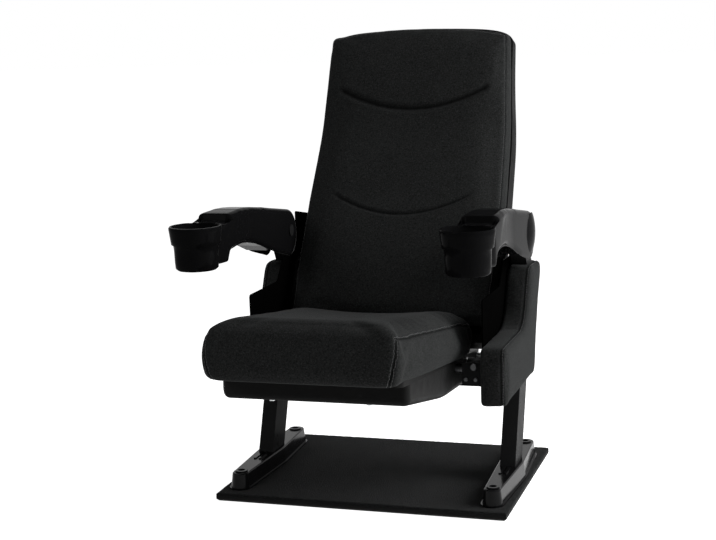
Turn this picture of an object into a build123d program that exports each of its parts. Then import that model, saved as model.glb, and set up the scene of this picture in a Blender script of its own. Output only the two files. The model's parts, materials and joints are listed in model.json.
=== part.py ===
from build123d import *
import math
import os

os.makedirs("parts", exist_ok=True)

# Cinema recliner seat on a carpeted floor board, in millimetres.
# Origin: centre of the board's underside. +Z is up and the seat faces -Y.
# Left and right are as seen from the front: right is +X. The right side is built and mirrored.

# ---------------------------------------------------------------- floor board
board_width = 640
board_depth = 480
board_thickness = 12
board_bevel = 5
carpet_thickness = 6

# ---------------------------------------------------------------- feet and anchors
foot_half_width = 31
foot_end_radius = 22
foot_front_y = -212
foot_rear_y = 188
foot_widest_y = 5
foot_height = 35
foot_draft = 7
foot_wall = 3
foot_flange = 3
foot_plate_width = 36
foot_plate_thickness = 6
anchor_front_y = -185
anchor_rear_y = 158
anchor_radius = 5
anchor_head_radius = 9
anchor_head_height = 7
anchor_cap_radius = 14
anchor_cap_rise = 3
foot_rib_length = 52
foot_rib_width = 6
foot_rib_height = 2.5

# ---------------------------------------------------------------- raked posts and cross beam
post_x = 281
post_width = 34
post_depth = 70
post_wall = 3
post_rake = 21.3
post_foot_y = -14
post_top_z = 452
beam_size = 40
beam_wall = 3
beam_front_y = 60
beam_bottom_z = 203

# ---------------------------------------------------------------- upholstered side panels
panel_inner_x = 259
panel_outer_x = 313
panel_skin = 5
panel_bottom_z = 227
panel_front_y = -193
panel_shelf_z = 347
panel_top_z = 470
panel_rear_margin = 6
panel_shelf_rear_y = 30
panel_top_front_y = 92
panel_edge_round = 7

# ---------------------------------------------------------------- back: hinge and spine curve
recline_pivot = (125, 395)
recline_range = 12
recline_pin_radius = 8
recline_bush_radius = 16
recline_plate_margin = 8
recline_washer_radius = 13
recline_head_height = 5
back_plate_inner_x = 248
back_plate_thickness = 5
spine_foot = (36, 349)
spine_lower_rake = 32
spine_lower_length = 467
spine_upper_rake = 19
spine_upper_length = 263
spine_bend_radius = 400
pad_half_width = 242
pad_top_half_width = 221
pad_front = 38
pad_rear = -20
pad_crown = 12
board_ply = 9
shell_depth = 48
shell_wall = 4
frame_tube_radius = 12
frame_bar_radius = 10
frame_tube_wall = 2
frame_half_spread = 162
lower_bar_height = 152
middle_bar_height = 390
upper_bar_margin = 80
back_screw_radius = 2.5
back_head_radius = 5
back_head_height = 2.5
back_boss_radius = 8
back_screw_x = 90

# ---------------------------------------------------------------- back pad creases
crease_radius = 7
crease_depth = 4
upper_crease_half_span = 172
upper_crease_low_z = 812
upper_crease_rise = 52
lower_crease_half_span = 172
lower_crease_low_z = 582
lower_crease_rise = 50

# ---------------------------------------------------------------- seat
seat_front_y = -556
seat_front_z = 361
seat_tilt = 6.4
cushion_length = 562
cushion_half_width = 216
cushion_height = 102
cushion_dish = 9
seat_ply = 12
seat_ply_front = 26
seat_ply_rear = 550
seat_ply_half_width = 190
pan_front_y = -480
pan_rear_y = -22
pan_front_bottom_z = 298
pan_belly_y = -205
pan_belly_z = 244
pan_rear_bottom_z = 230
pan_half_width = 190
pan_wall = 3
pan_round = 14
pan_boss_radius = 7
pan_boss_height = 60
pan_screw_x = 100
rail_size = 25
rail_wall = 2
rail_outer_x = 180
rail_front = 110
seat_bar_stations = (110, 310, 490)
drive_radius = 7
drive_margin = 16

# ---------------------------------------------------------------- seat guides
shoe_length = 46
shoe_height = 22
shoe_inner_x = 234
shoe_stations = (446, 562)
shoe_bolt_radius = 5
channel_wall = 4
channel_inner_x = 228
channel_front = 386
channel_rear = 595
channel_flange_drop = 9
channel_flange_inner_x = 218
buffer_width = 16
guide_bolt_radius = 4
sliding_gap = 0.3

# ---------------------------------------------------------------- arm brackets on the post tops
spigot_length = 60
neck_half = 15
neck_bend = 12
hub_radius = 22
horn_length = 46
horn_height = 12
bush_radius = 11
bush_flange_radius = 17
stop_pad_height = 4
stop_pad_length = 14
stop_pad_setback = 9
stop_pad_margin = 2

# ---------------------------------------------------------------- armrests
arm_pivot = (95, 547)
arm_width = 66
arm_wall = 5
arm_skin = 5
arm_boss_radius = 47
arm_top_z = 636
arm_arch_z = 566
arm_bend_y = -155
arm_front_y = -305
arm_lift_range = 75
arm_web_end_angle = 44
cup_y = -362
cup_rim_z = 617
cup_bottom_z = 528
cup_rim_radius = 53
cup_band_z = 581
cup_band_radius = 49
cup_lower_radius = 46
cup_foot_radius = 40
cup_wall = 3
cup_lip = 5
arm_round = 12
arm_tip_drop = 3
arm_nose_length = 17
arm_arch_run = 19
arm_cup_overlap = 27
arm_pin_radius = 8
arm_pin_head_radius = 13
arm_pin_head_height = 3
rib_width = 12
running_gap = 0.05
soft_gap = 0.3
pivot_cap_dome = 7

# ---------------------------------------------------------------- values worked out from the above
board_top = board_thickness + carpet_thickness
plate_top = board_top + foot_plate_thickness
rake_slope = math.tan(math.radians(post_rake))
post_half_run = post_depth / 2 / math.cos(math.radians(post_rake))
seat_slope = math.tan(math.radians(seat_tilt))
pad_length = spine_lower_length + spine_upper_length
upper_bar_height = pad_length - upper_bar_margin
back_plate_outer_x = back_plate_inner_x + back_plate_thickness
bracket_half = post_width / 2
frame_offset = pad_rear - board_ply - frame_tube_radius
rail_middle = -seat_ply - rail_size / 2
arm_inner_x = post_x - arm_width / 2
arm_outer_x = post_x + arm_width / 2


# ---------------------------------------------------------------- helpers
def save(node, shape):
    """Write one node, a solid or a group of separate solids."""
    export_step(shape, f"parts/{node}.step")


def mirrored(shape):
    """The same piece on the -X side."""
    return mirror(shape, about=Plane.YZ)


def save_sides(name, shape):
    """Write a right-hand piece and its mirror image as two nodes."""
    save(f"right_{name}", shape)
    save(f"left_{name}", mirrored(shape))


def save_pairs(node, *shapes):
    """Write right-hand pieces and their mirror images together in one node."""
    save(node, group(*shapes, *map(mirrored, shapes)))


def group(*shapes):
    """Separate solids that share one node."""
    solids = [solid for shape in shapes for solid in shape.solids()]
    return Compound(children=solids)


def rounded_outline(corners):
    """A closed face from corners (u, v, radius), each rounded by a tangent arc."""
    bends = []
    for index, (u, v, radius) in enumerate(corners):
        here = Vector(u, v)
        before = Vector(*corners[index - 1][:2])
        after = Vector(*corners[(index + 1) % len(corners)][:2])
        to_before = (before - here).normalized()
        to_after = (after - here).normalized()
        half = math.radians(to_before.get_angle(to_after)) / 2
        reach = radius / math.tan(half)
        depth = radius / math.sin(half) - radius
        middle = here + (to_before + to_after).normalized() * depth if radius else here
        bends.append((here + to_before * reach, middle, here + to_after * reach))
    edges = []
    for index, (start, middle, end) in enumerate(bends):
        if corners[index][2]:
            edges.append(ThreePointArc(start, middle, end))
        edges.append(Line(end, bends[(index + 1) % len(bends)][0]))
    return make_face(Wire(edges))


def side_plate(outline, x_from, x_to):
    """An outline drawn in the YZ plane, carried from x_from to x_to."""
    return extrude(Plane.YZ.offset(x_from) * outline, amount=x_to - x_from)


def rod(radius, y, z, x_from, x_to):
    """A round bar along X."""
    return extrude(Plane.YZ.offset(x_from) * Pos(y, z) * Circle(radius), amount=x_to - x_from)


def upright(radius, x, y, z_from, z_to):
    """A round bar along Z."""
    return Pos(x, y, z_from) * extrude(Circle(radius), amount=z_to - z_from)


def tangent_point(outside, centre, radius, side):
    """Where a line from a point outside touches a circle, on side +1 or -1 of the line to its centre."""
    away_y = outside[0] - centre[0]
    away_z = outside[1] - centre[1]
    distance = math.hypot(away_y, away_z)
    angle = math.atan2(away_z, away_y) + side * math.acos(radius / distance)
    return (centre[0] + radius * math.cos(angle), centre[1] + radius * math.sin(angle))


def post_y(z):
    """The post's centre line at a height."""
    return post_foot_y + (z - board_top) * rake_slope


def seat_z(y):
    """The cushion's underside at a place along the seat."""
    return seat_front_z - (y - seat_front_y) * seat_slope


def seat_plane(along):
    """A plane across the seat, at a distance behind its front edge, drawn in X and the seat's own up."""
    tilt = math.radians(seat_tilt)
    origin = (0, seat_front_y + along * math.cos(tilt), seat_front_z - along * math.sin(tilt))
    return Plane(origin=origin, x_dir=(1, 0, 0), z_dir=(0, -math.cos(tilt), math.sin(tilt)))


def seat_bar(x_from, x_to, along_from, along_to, low, high):
    """A block that lies in the tilted seat: low and high are measured up from the cushion's underside."""
    outline = Pos((x_from + x_to) / 2, (low + high) / 2) * Rectangle(x_to - x_from, high - low)
    return extrude(seat_plane(along_to) * outline, amount=along_to - along_from)


def spine_corners(offset):
    """The back's spine, moved forward by an offset: foot, bend and top in the YZ plane."""
    lower = math.radians(spine_lower_rake)
    upper = math.radians(spine_upper_rake)
    mean = (lower + upper) / 2
    mitre = offset / math.cos((lower - upper) / 2)
    bend_y = spine_foot[0] + spine_lower_length * math.sin(lower)
    bend_z = spine_foot[1] + spine_lower_length * math.cos(lower)
    top_y = bend_y + spine_upper_length * math.sin(upper)
    top_z = bend_z + spine_upper_length * math.cos(upper)
    return (
        (spine_foot[0] - offset * math.cos(lower), spine_foot[1] + offset * math.sin(lower)),
        (bend_y - mitre * math.cos(mean), bend_z + mitre * math.sin(mean)),
        (top_y - offset * math.cos(upper), top_z + offset * math.sin(upper)),
    )


def moved_along(start, towards, distance):
    """A point moved from start towards another point."""
    length = math.dist(start, towards)
    return tuple(a + (b - a) * distance / length for a, b in zip(start, towards))


def back_point(along, offset):
    """A point on the back, at a distance up the spine and forward of it."""
    foot, bend, top = spine_corners(offset)
    if along <= spine_lower_length:
        return moved_along(foot, bend, along)
    return moved_along(bend, top, along - spine_lower_length)


def back_profile(rear, front, low, high, rear_round, front_round):
    """Side view of a slab that follows the spine between two offsets and two distances up it."""
    front_foot, front_bend, front_top = spine_corners(front)
    rear_foot, rear_bend, rear_top = spine_corners(rear)
    cut = pad_length - high
    return rounded_outline([
        (*moved_along(front_foot, front_bend, low), front_round),
        (*front_bend, spine_bend_radius - front),
        (*moved_along(front_top, front_bend, cut), front_round),
        (*moved_along(rear_top, rear_bend, cut), rear_round),
        (*rear_bend, spine_bend_radius - rear),
        (*moved_along(rear_foot, rear_bend, low), rear_round),
    ])


def back_section(half_width, rear, front, low, high, rear_round, front_round):
    """A side view of the back, placed out at a half width and leaning in towards the top."""
    lean = (pad_half_width - pad_top_half_width) / (pad_length * math.cos(math.radians(spine_upper_rake)))
    angle = math.atan(lean * half_width / pad_half_width)
    plane = Plane(
        origin=(half_width, 0, spine_foot[1]),
        x_dir=(0, 1, 0),
        z_dir=(math.cos(angle), 0, math.sin(angle)),
    )
    return plane * Pos(0, -spine_foot[1]) * back_profile(rear, front, low, high, rear_round, front_round)


# ---------------------------------------------------------------- floor board and carpet
def make_board():
    """The board and the carpet glued on it, with a bevel on their outer edges and four anchor holes."""
    board = Pos(0, 0, board_thickness / 2) * Box(board_width, board_depth, board_thickness)
    board = chamfer(board.faces().sort_by(Axis.Z)[0].edges(), board_bevel)
    carpet = Pos(0, 0, board_thickness + carpet_thickness / 2)
    carpet = carpet * Box(board_width, board_depth, carpet_thickness)
    carpet = chamfer(carpet.faces().sort_by(Axis.Z)[-1].edges(), board_bevel)
    for x in (-post_x, post_x):
        for y in (anchor_front_y, anchor_rear_y):
            hole = upright(anchor_radius, x, y, 0, board_top)
            board -= hole
            carpet -= hole
    return board, carpet


# ---------------------------------------------------------------- feet
def foot_outline(inset):
    """The boat-shaped foot seen from above, widest at the post."""
    front = foot_front_y + foot_end_radius
    rear = foot_rear_y - foot_end_radius
    circles = [
        Pos(post_x, front) * Circle(foot_end_radius - inset),
        Pos(post_x, foot_widest_y) * Circle(foot_half_width - inset),
        Pos(post_x, rear) * Circle(foot_end_radius - inset),
    ]
    return make_hull([circle.edges()[0] for circle in circles])


def post_envelope(grow, z_from, z_to):
    """The raked post's outer shape, grown by a margin, between two heights."""
    half = post_half_run + grow
    outline = Polygon(
        (post_y(z_from) - half, z_from),
        (post_y(z_from) + half, z_from),
        (post_y(z_to) + half, z_to),
        (post_y(z_to) - half, z_to),
        align=None,
    )
    return side_plate(outline, post_x - post_width / 2 - grow, post_x + post_width / 2 + grow)


def make_foot_plate():
    """The steel plate that the post is welded on, with its two anchor holes."""
    length = foot_rear_y - foot_front_y - 4 * foot_wall
    middle = (foot_front_y + foot_rear_y) / 2
    outline = Pos(post_x, middle) * Rot(0, 0, 90) * SlotOverall(length, foot_plate_width)
    plate = Pos(0, 0, board_top) * extrude(outline, amount=foot_plate_thickness)
    for y in (anchor_front_y, anchor_rear_y):
        plate -= upright(anchor_radius, post_x, y, board_top, plate_top)
    return plate


def make_foot_cover():
    """The moulded cover over the foot plate: drafted walls, base flange, bolt wells and two ribs."""
    top = board_top + foot_height
    body = Pos(0, 0, board_top) * extrude(foot_outline(0), amount=foot_height, taper=foot_draft)
    body = fillet(body.faces().sort_by(Axis.Z)[-1].edges(), foot_wall)
    flange = Pos(0, 0, board_top) * extrude(foot_outline(-foot_flange), amount=foot_flange)
    hollow = Pos(0, 0, board_top) * extrude(
        foot_outline(foot_wall), amount=foot_height - foot_wall, taper=foot_draft)
    cover = body + flange - hollow
    for y in (anchor_front_y, anchor_rear_y):
        well = upright(anchor_cap_radius + foot_wall, post_x, y, plate_top, top)
        cover += well
        cover -= upright(anchor_cap_radius, post_x, y, plate_top, top)
    cover -= post_envelope(soft_gap, board_top, top + foot_height)
    rib_start = post_y(top) - post_half_run - foot_rib_length - foot_wall
    for x in (post_x - foot_rib_width, post_x + foot_rib_width):
        rib = Pos(x, rib_start + foot_rib_length / 2) * Rot(0, 0, 90)
        rib = rib * SlotOverall(foot_rib_length, foot_rib_width)
        cover += Pos(0, 0, top) * extrude(rib, amount=foot_rib_height)
    return cover


def make_anchor(y):
    """One hex-headed anchor bolt, seated on the foot plate and reaching through the board."""
    bolt = upright(anchor_radius, post_x, y, board_bevel, plate_top)
    head = RegularPolygon(anchor_head_radius, 6)
    return bolt + Pos(post_x, y, plate_top) * extrude(head, amount=anchor_head_height)


def make_anchor_cap(y):
    """The round cap that closes one bolt well."""
    top = board_top + foot_height
    seat = plate_top + anchor_head_height + soft_gap
    cap = upright(anchor_cap_radius, post_x, y, seat, top + anchor_cap_rise)
    cap = chamfer(cap.faces().sort_by(Axis.Z)[-1].edges(), anchor_cap_rise / 3)
    recess = upright(anchor_cap_radius - 2 * anchor_cap_rise, post_x, y, top, top + anchor_cap_rise)
    return cap - recess


# ---------------------------------------------------------------- posts and cross beam
def make_post():
    """The raked rectangular tube, drilled for the recline pin."""
    post = post_envelope(0, plate_top, post_top_z)
    hollow = post_envelope(-post_wall, plate_top, post_top_z)
    post -= hollow
    return post - rod(recline_pin_radius, *recline_pivot, panel_inner_x, panel_outer_x)


def make_beam():
    """The square tube welded between the two posts."""
    middle = (beam_front_y + beam_size / 2, beam_bottom_z + beam_size / 2)
    reach = post_x - post_width / 2
    outer = Pos(*middle) * RectangleRounded(beam_size, beam_size, beam_wall)
    inner = Pos(*middle) * Rectangle(beam_size - 2 * beam_wall, beam_size - 2 * beam_wall)
    return side_plate(outer - inner, -reach, reach)


# ---------------------------------------------------------------- side panels
def panel_outline(inset):
    """Side view of a panel: a low front shelf, a swept step and a narrow leaning rear part."""
    rear_low = post_y(panel_bottom_z + inset) + post_half_run + panel_rear_margin - inset
    rear_high = post_y(panel_top_z - inset) + post_half_run + panel_rear_margin - inset
    return rounded_outline([
        (panel_front_y + inset, panel_bottom_z + inset, 5),
        (rear_low, panel_bottom_z + inset, 5),
        (rear_high, panel_top_z - inset, 14 - inset / 2),
        (panel_top_front_y + inset, panel_top_z - inset, 30 - inset),
        (panel_shelf_rear_y + inset, panel_shelf_z - inset, 48 + inset),
        (panel_front_y + inset, panel_shelf_z - inset, 14 - inset / 2),
    ])


def make_panel_core():
    """The wooden core of a panel, with a raked slot that fits the post and a notch for the beam."""
    core = side_plate(panel_outline(panel_skin), panel_inner_x + panel_skin, panel_outer_x - panel_skin)
    core -= post_envelope(soft_gap, panel_bottom_z, post_top_z)
    core -= bracket_envelope()
    core -= beam_envelope()
    head_room = post_x + post_width / 2 + recline_head_height + soft_gap
    return core - rod(recline_washer_radius + soft_gap, *recline_pivot, panel_inner_x, head_room)


def beam_envelope():
    """The space that the beam takes where it passes a panel."""
    middle = (beam_front_y + beam_size / 2, beam_bottom_z + beam_size / 2)
    opening = beam_size + 2 * soft_gap
    return side_plate(Pos(*middle) * Rectangle(opening, opening), panel_inner_x - 1, post_x)


def make_panel_cover():
    """The upholstery drawn over a panel's core, open where the post, beam, pin and bracket pass."""
    cover = side_plate(panel_outline(0), panel_inner_x, panel_outer_x)
    cover = fillet(cover.faces().filter_by(Axis.X).edges(), panel_edge_round / 2)
    cover -= side_plate(panel_outline(panel_skin), panel_inner_x + panel_skin, panel_outer_x - panel_skin)
    cover -= post_envelope(soft_gap, panel_bottom_z - 1, post_top_z)
    cover -= bracket_envelope()
    cover -= beam_envelope()
    return cover - rod(recline_pin_radius + 2, *recline_pivot, panel_inner_x - 1, panel_inner_x + panel_skin)


# ---------------------------------------------------------------- arm brackets on the post tops
def bracket_neck(grow):
    """Side view of the bracket above the post: a neck that leads forward to the hub."""
    base_z = post_top_z
    foot_y = post_y(base_z)
    return rounded_outline([
        (foot_y - post_half_run + post_wall - grow, base_z, 0),
        (foot_y + post_half_run - post_wall + grow, base_z, 0),
        (foot_y + neck_half + grow, base_z + 2 * neck_half, neck_bend),
        (arm_pivot[0] + neck_half + grow, arm_pivot[1], 0),
        (arm_pivot[0] - neck_half - grow, arm_pivot[1], 0),
        (foot_y - 2 * neck_half - 2 * grow, base_z + neck_half, neck_bend),
    ])


def bracket_envelope():
    """The space that the bracket's neck takes where it leaves a panel."""
    half = bracket_half + soft_gap
    return side_plate(bracket_neck(soft_gap), post_x - half, post_x + half)


def make_arm_bracket():
    """The cast bracket in a post's top: spigot, neck, bored hub and the horn that stops the armrest."""
    x_from = post_x - bracket_half
    x_to = post_x + bracket_half
    neck = side_plate(bracket_neck(0), x_from, x_to)
    hub = rod(hub_radius, *arm_pivot, x_from, x_to)
    horn = Pos(arm_pivot[0] - horn_length / 2, arm_pivot[1] - horn_height / 2)
    horn = side_plate(horn * Rectangle(horn_length, horn_height), x_from, x_to)
    spigot = post_envelope(-post_wall - soft_gap, post_top_z - spigot_length, post_top_z)
    spigot -= rod(recline_pin_radius + 2, *recline_pivot, x_from, x_to)
    body = neck + hub + horn + spigot
    return body - rod(bush_radius, *arm_pivot, x_from, x_to)


def make_arm_bush(x_from, x_to, flange_from, flange_to):
    """A flanged bush in the bracket's hub, which the armrest's pin turns in."""
    bush = rod(bush_radius, *arm_pivot, x_from, x_to)
    bush += rod(bush_flange_radius, *arm_pivot, flange_from, flange_to)
    return bush - rod(arm_pin_radius + running_gap, *arm_pivot, arm_inner_x, arm_outer_x)


def make_arm_bushes():
    """The two bushes of one armrest."""
    inner_face = post_x - bracket_half
    outer_face = post_x + bracket_half
    inner = make_arm_bush(inner_face, post_x, arm_inner_x + arm_wall + soft_gap, inner_face)
    outer = make_arm_bush(post_x, outer_face, outer_face, arm_outer_x - arm_wall - soft_gap)
    return inner, outer


def make_arm_stop():
    """The rubber pad on the horn, which the armrest's rib lies on."""
    middle = Pos(arm_pivot[0] - horn_length + stop_pad_setback, arm_pivot[1] + stop_pad_height / 2)
    outline = middle * Rectangle(stop_pad_length, stop_pad_height)
    half = bracket_half - stop_pad_margin
    return side_plate(outline, post_x - half, post_x + half)


# ---------------------------------------------------------------- armrests
def arm_outline(inset):
    """Side view of an armrest: humped top, arched underside, round boss at the pivot."""
    radius = arm_boss_radius - inset
    bend = (arm_bend_y, arm_top_z - inset)
    arch = (arm_bend_y - 2 * arm_skin, arm_arch_z + inset)
    upper = tangent_point(bend, arm_pivot, radius, -1)
    lower = tangent_point(arch, arm_pivot, radius, 1)
    nose_z = cup_bottom_z + arm_tip_drop
    nose_y = arm_front_y + arm_nose_length
    return rounded_outline([
        (cup_y + arm_cup_overlap, nose_z, 0),
        (nose_y, nose_z, 8),
        (nose_y + arm_arch_run, arm_arch_z, 24),
        (*arch, 120),
        (*lower, 0),
        (*upper, 0),
        (*bend, 320),
        (arm_front_y, arm_top_z, 6),
        (arm_front_y - 4, cup_rim_z + 1, 2),
        (cup_y + arm_cup_overlap, cup_rim_z + 1, 0),
    ])


def arm_hollow():
    """The space between an armrest's walls: open below, and open behind for the bracket."""
    reach = arm_boss_radius
    inner = reach - arm_skin
    bend = (arm_bend_y, arm_top_z - arm_skin)
    upper = tangent_point(bend, arm_pivot, inner, -1)
    end = math.radians(arm_web_end_angle)
    toward = (math.cos(end), math.sin(end))
    web_inner = (arm_pivot[0] + inner * toward[0], arm_pivot[1] + inner * toward[1])
    web_outer = (arm_pivot[0] + 2 * reach * toward[0], arm_pivot[1] + 2 * reach * toward[1])
    front = arm_front_y + arm_skin
    return rounded_outline([
        (front, cup_bottom_z - 20, 0),
        (front, arm_top_z - arm_skin, 4),
        (*bend, 320),
        (*upper, 0),
        (*web_inner, 0),
        (*web_outer, 0),
        (arm_pivot[0] + 2 * reach, arm_pivot[1] - 2 * reach, 0),
        (arm_front_y + 20, arm_pivot[1] - 2 * reach, 0),
    ])


def cup_profile(outer):
    """Half section of the cup holder, its outside or its inside, from its axis outwards."""
    if outer:
        return Polygon(
            (0, cup_bottom_z),
            (cup_foot_radius - 4, cup_bottom_z),
            (cup_foot_radius, cup_bottom_z + 4),
            (cup_lower_radius, cup_band_z - 3),
            (cup_band_radius, cup_band_z),
            (cup_rim_radius, cup_rim_z - 3),
            (cup_rim_radius - 2, cup_rim_z),
            (0, cup_rim_z),
            align=None,
        )
    return Polygon(
        (0, cup_bottom_z + cup_wall),
        (cup_foot_radius - cup_wall, cup_bottom_z + cup_wall),
        (cup_lower_radius - cup_wall, cup_band_z),
        (cup_rim_radius - cup_lip, cup_rim_z - 4),
        (cup_rim_radius - cup_lip, arm_top_z),
        (0, arm_top_z),
        align=None,
    )


def cup_solid(outer):
    """The cup holder's outside or inside as a turned solid."""
    turned = revolve(Plane.XZ * cup_profile(outer), axis=Axis.Z)
    return Pos(post_x, cup_y, 0) * turned


def make_arm():
    """A moulded armrest: hollow arm with a clevis at the pivot, a stop rib and a cup holder in one."""
    body = side_plate(arm_outline(0), arm_inner_x, arm_outer_x)
    body += rod(arm_boss_radius, *arm_pivot, arm_inner_x, arm_outer_x)
    low_limit = arm_pivot[1] + arm_boss_radius / 2
    rear_limit = arm_pivot[0] + arm_boss_radius / 3
    side_edges = body.edges().filter_by(lambda edge: abs(edge.center().X - post_x) > arm_width / 2 - 0.1)
    top_edges = side_edges.filter_by(
        lambda edge: edge.center().Z > low_limit and arm_front_y < edge.center().Y < rear_limit)
    body = fillet(top_edges, arm_round)
    body -= side_plate(arm_hollow(), arm_inner_x + arm_wall, arm_outer_x - arm_wall)
    rib_y = arm_pivot[0] - horn_length + stop_pad_setback
    rib_low = arm_pivot[1] + stop_pad_height + soft_gap
    rib_high = arm_pivot[1] + arm_boss_radius - 1
    rib = Pos(rib_y, (rib_low + rib_high) / 2) * Rectangle(rib_width, rib_high - rib_low)
    body += side_plate(rib, arm_inner_x + arm_wall, arm_outer_x - arm_wall)
    body += cup_solid(True)
    body -= cup_solid(False)
    return body - rod(arm_pin_radius, *arm_pivot, arm_inner_x, arm_outer_x)


def make_arm_pin():
    """The pin fixed in an armrest's two walls, with a head inside."""
    pin = rod(arm_pin_radius, *arm_pivot, arm_inner_x, arm_outer_x)
    return pin + rod(arm_pin_head_radius, *arm_pivot, arm_inner_x - arm_pin_head_height, arm_inner_x)


def make_pivot_cap():
    """The domed round cap on an armrest's outer side."""
    radius = arm_boss_radius - 2
    sphere = (radius ** 2 + pivot_cap_dome ** 2) / (2 * pivot_cap_dome)
    disc = rod(radius, *arm_pivot, arm_outer_x, arm_outer_x + pivot_cap_dome)
    return disc & (Pos(arm_outer_x + pivot_cap_dome - sphere, *arm_pivot) * Sphere(sphere))


# ---------------------------------------------------------------- back pad
def pad_face(share):
    """How far forward of the spine the pad's front lies, at a share of its half width."""
    return pad_front - pad_crown * share ** 4


def along_back(z, offset):
    """How far up the spine a height is, on the slab face that lies at an offset."""
    foot, bend, _ = spine_corners(offset)
    if z <= bend[1]:
        return (z - foot[1]) / math.cos(math.radians(spine_lower_rake))
    return spine_lower_length + (z - bend[1]) / math.cos(math.radians(spine_upper_rake))


def crease_groove(half_span, low_z, rise):
    """The round cutter of one sewn smile: deepest in the middle, running out at its ends."""
    points = []
    for share in (-1, -0.75, -0.5, -0.25, 0, 0.25, 0.5, 0.75, 1):
        x = share * half_span
        face = pad_face(x / pad_half_width)
        depth = crease_depth * (1 - 1.3 * share ** 4)
        y, z = back_point(along_back(low_z + rise * share ** 2, face), face + crease_radius - depth)
        points.append((x, y, z))
    path = Spline(*points)
    return sweep(Plane(origin=path @ 0, z_dir=path % 0) * Circle(crease_radius), path=path)


def behind_back(offset):
    """All the space behind a surface that follows the spine."""
    outline = back_profile(2 * frame_offset + offset, offset, -pad_length / 4, 1.25 * pad_length, 0, 0)
    return side_plate(outline, -pad_half_width - shell_depth, pad_half_width + shell_depth)


def make_back_pad():
    """The crowned upholstered pad, thinner and shorter towards its sides, with two sewn smiling creases."""
    stations = [
        (0, pad_face(0), 0, pad_length, 18),
        (0.5, pad_face(0.5), 0, pad_length - 4, 18),
        (0.84, pad_face(0.84), 2, pad_length - 14, 16),
        (0.955, pad_face(0.955) - 6, 8, pad_length - 24, 12),
        (1, pad_face(1) - 28, 22, pad_length - 42, 6),
    ]
    sections = []
    for share, front, low, high, end_round in stations[::-1]:
        sections.append(back_section(-share * pad_half_width, pad_rear - 1, front, low, high, end_round, end_round))
    for share, front, low, high, end_round in stations[1:]:
        sections.append(back_section(share * pad_half_width, pad_rear - 1, front, low, high, end_round, end_round))
    pad = loft(sections) - behind_back(pad_rear)
    pad -= crease_groove(upper_crease_half_span, upper_crease_low_z, upper_crease_rise)
    return pad - crease_groove(lower_crease_half_span, lower_crease_low_z, lower_crease_rise)


# ---------------------------------------------------------------- back board, shell and frame
def make_back_board():
    """The bent board behind the pad, inside the shell's mouth."""
    low = 5 * shell_wall
    high = pad_length - 10 * shell_wall
    outline = back_profile(pad_rear - board_ply, pad_rear, low, high, 0, 0)
    return side_plate(outline, -pad_half_width, pad_half_width) & leaning_block(0.9, 0)


def back_half_width(z):
    """Half the back's width at a height."""
    rise = pad_length * math.cos(math.radians(spine_upper_rake))
    return pad_half_width - (pad_half_width - pad_top_half_width) * (z - spine_foot[1]) / rise


def leaning_block(share, margin):
    """A block as deep as the whole back, whose sides lean in with the back's sides."""
    low_z = spine_foot[1] - pad_half_width
    high_z = back_point(pad_length, 0)[1] + shell_depth
    low = share * back_half_width(low_z) - margin
    high = share * back_half_width(high_z) - margin
    outline = Polygon((-low, low_z), (low, low_z), (high, high_z), (-high, high_z), align=None)
    return extrude(Plane.XZ.offset(pad_length) * outline, amount=-2 * pad_length)


def shell_body():
    """The rear shell's bulged form before it is hollowed."""
    rear = pad_rear - shell_depth
    front = pad_rear - soft_gap
    stations = [
        (0, rear, 0, pad_length - 6, 10),
        (0.6, rear + 2, 0, pad_length - 10, 10),
        (0.86, rear + 5, 2, pad_length - 18, 8),
        (0.97, rear + 11, 8, pad_length - 30, 6),
        (1, rear + 21, 20, pad_length - 40, 4),
    ]
    half_width = pad_half_width - 2
    sections = []
    for share, back, low, high, end_round in stations[::-1]:
        sections.append(back_section(-share * half_width, back, front, low, high, end_round, 1))
    for share, back, low, high, end_round in stations[1:]:
        sections.append(back_section(share * half_width, back, front, low, high, end_round, 1))
    return loft(sections)


def shell_hollow(share, rear, end):
    """One step of the space inside the rear shell, open towards the pad."""
    back = pad_rear - shell_depth + rear
    outline = back_profile(back, pad_rear + 1, end / 2, pad_length - 6 - end, shell_wall, 0)
    block = side_plate(outline, -pad_half_width, pad_half_width)
    return block & leaning_block(share, 0)


def back_rod(radius, x, along, offset_from, offset_to):
    """A round bar square to the back, through the frame's centre line at a distance up the spine."""
    y, z = back_point(along, frame_offset)
    rake = math.radians(spine_lower_rake if along <= spine_lower_length else spine_upper_rake)
    plane = Plane(origin=(x, y, z), z_dir=(0, -math.cos(rake), math.sin(rake))).offset(offset_from - frame_offset)
    return extrude(plane * Circle(radius), amount=offset_to - offset_from)


def back_screw_places():
    """Where the shell's screws are: in the middle and upper bars, on both sides."""
    return [(x, along) for along in (middle_bar_height, upper_bar_height) for x in (-back_screw_x, back_screw_x)]


def make_back_shell():
    """The moulded rear shell: an open bowl with screw bosses and a hole each side for the lower bar."""
    shell = shell_body() - shell_hollow(0.8, shell_wall + 1, 14) - shell_hollow(0.93, shell_depth / 2, 26)
    head_seat = back_screw_seat()
    for x, along in back_screw_places():
        shell += back_rod(back_boss_radius, x, along, head_seat, frame_offset - frame_bar_radius)
        shell -= back_rod(back_screw_radius, x, along, 2 * frame_offset, frame_offset)
        shell -= back_rod(back_head_radius + soft_gap, x, along, 2 * frame_offset, head_seat)
    lower_bar = back_point(lower_bar_height, frame_offset)
    return shell - rod(frame_tube_radius + soft_gap, *lower_bar, -pad_half_width, pad_half_width)


def back_screw_seat():
    """How far behind the spine the shell's screw heads bear."""
    return pad_rear - shell_depth + 0.75 * shell_wall


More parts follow.
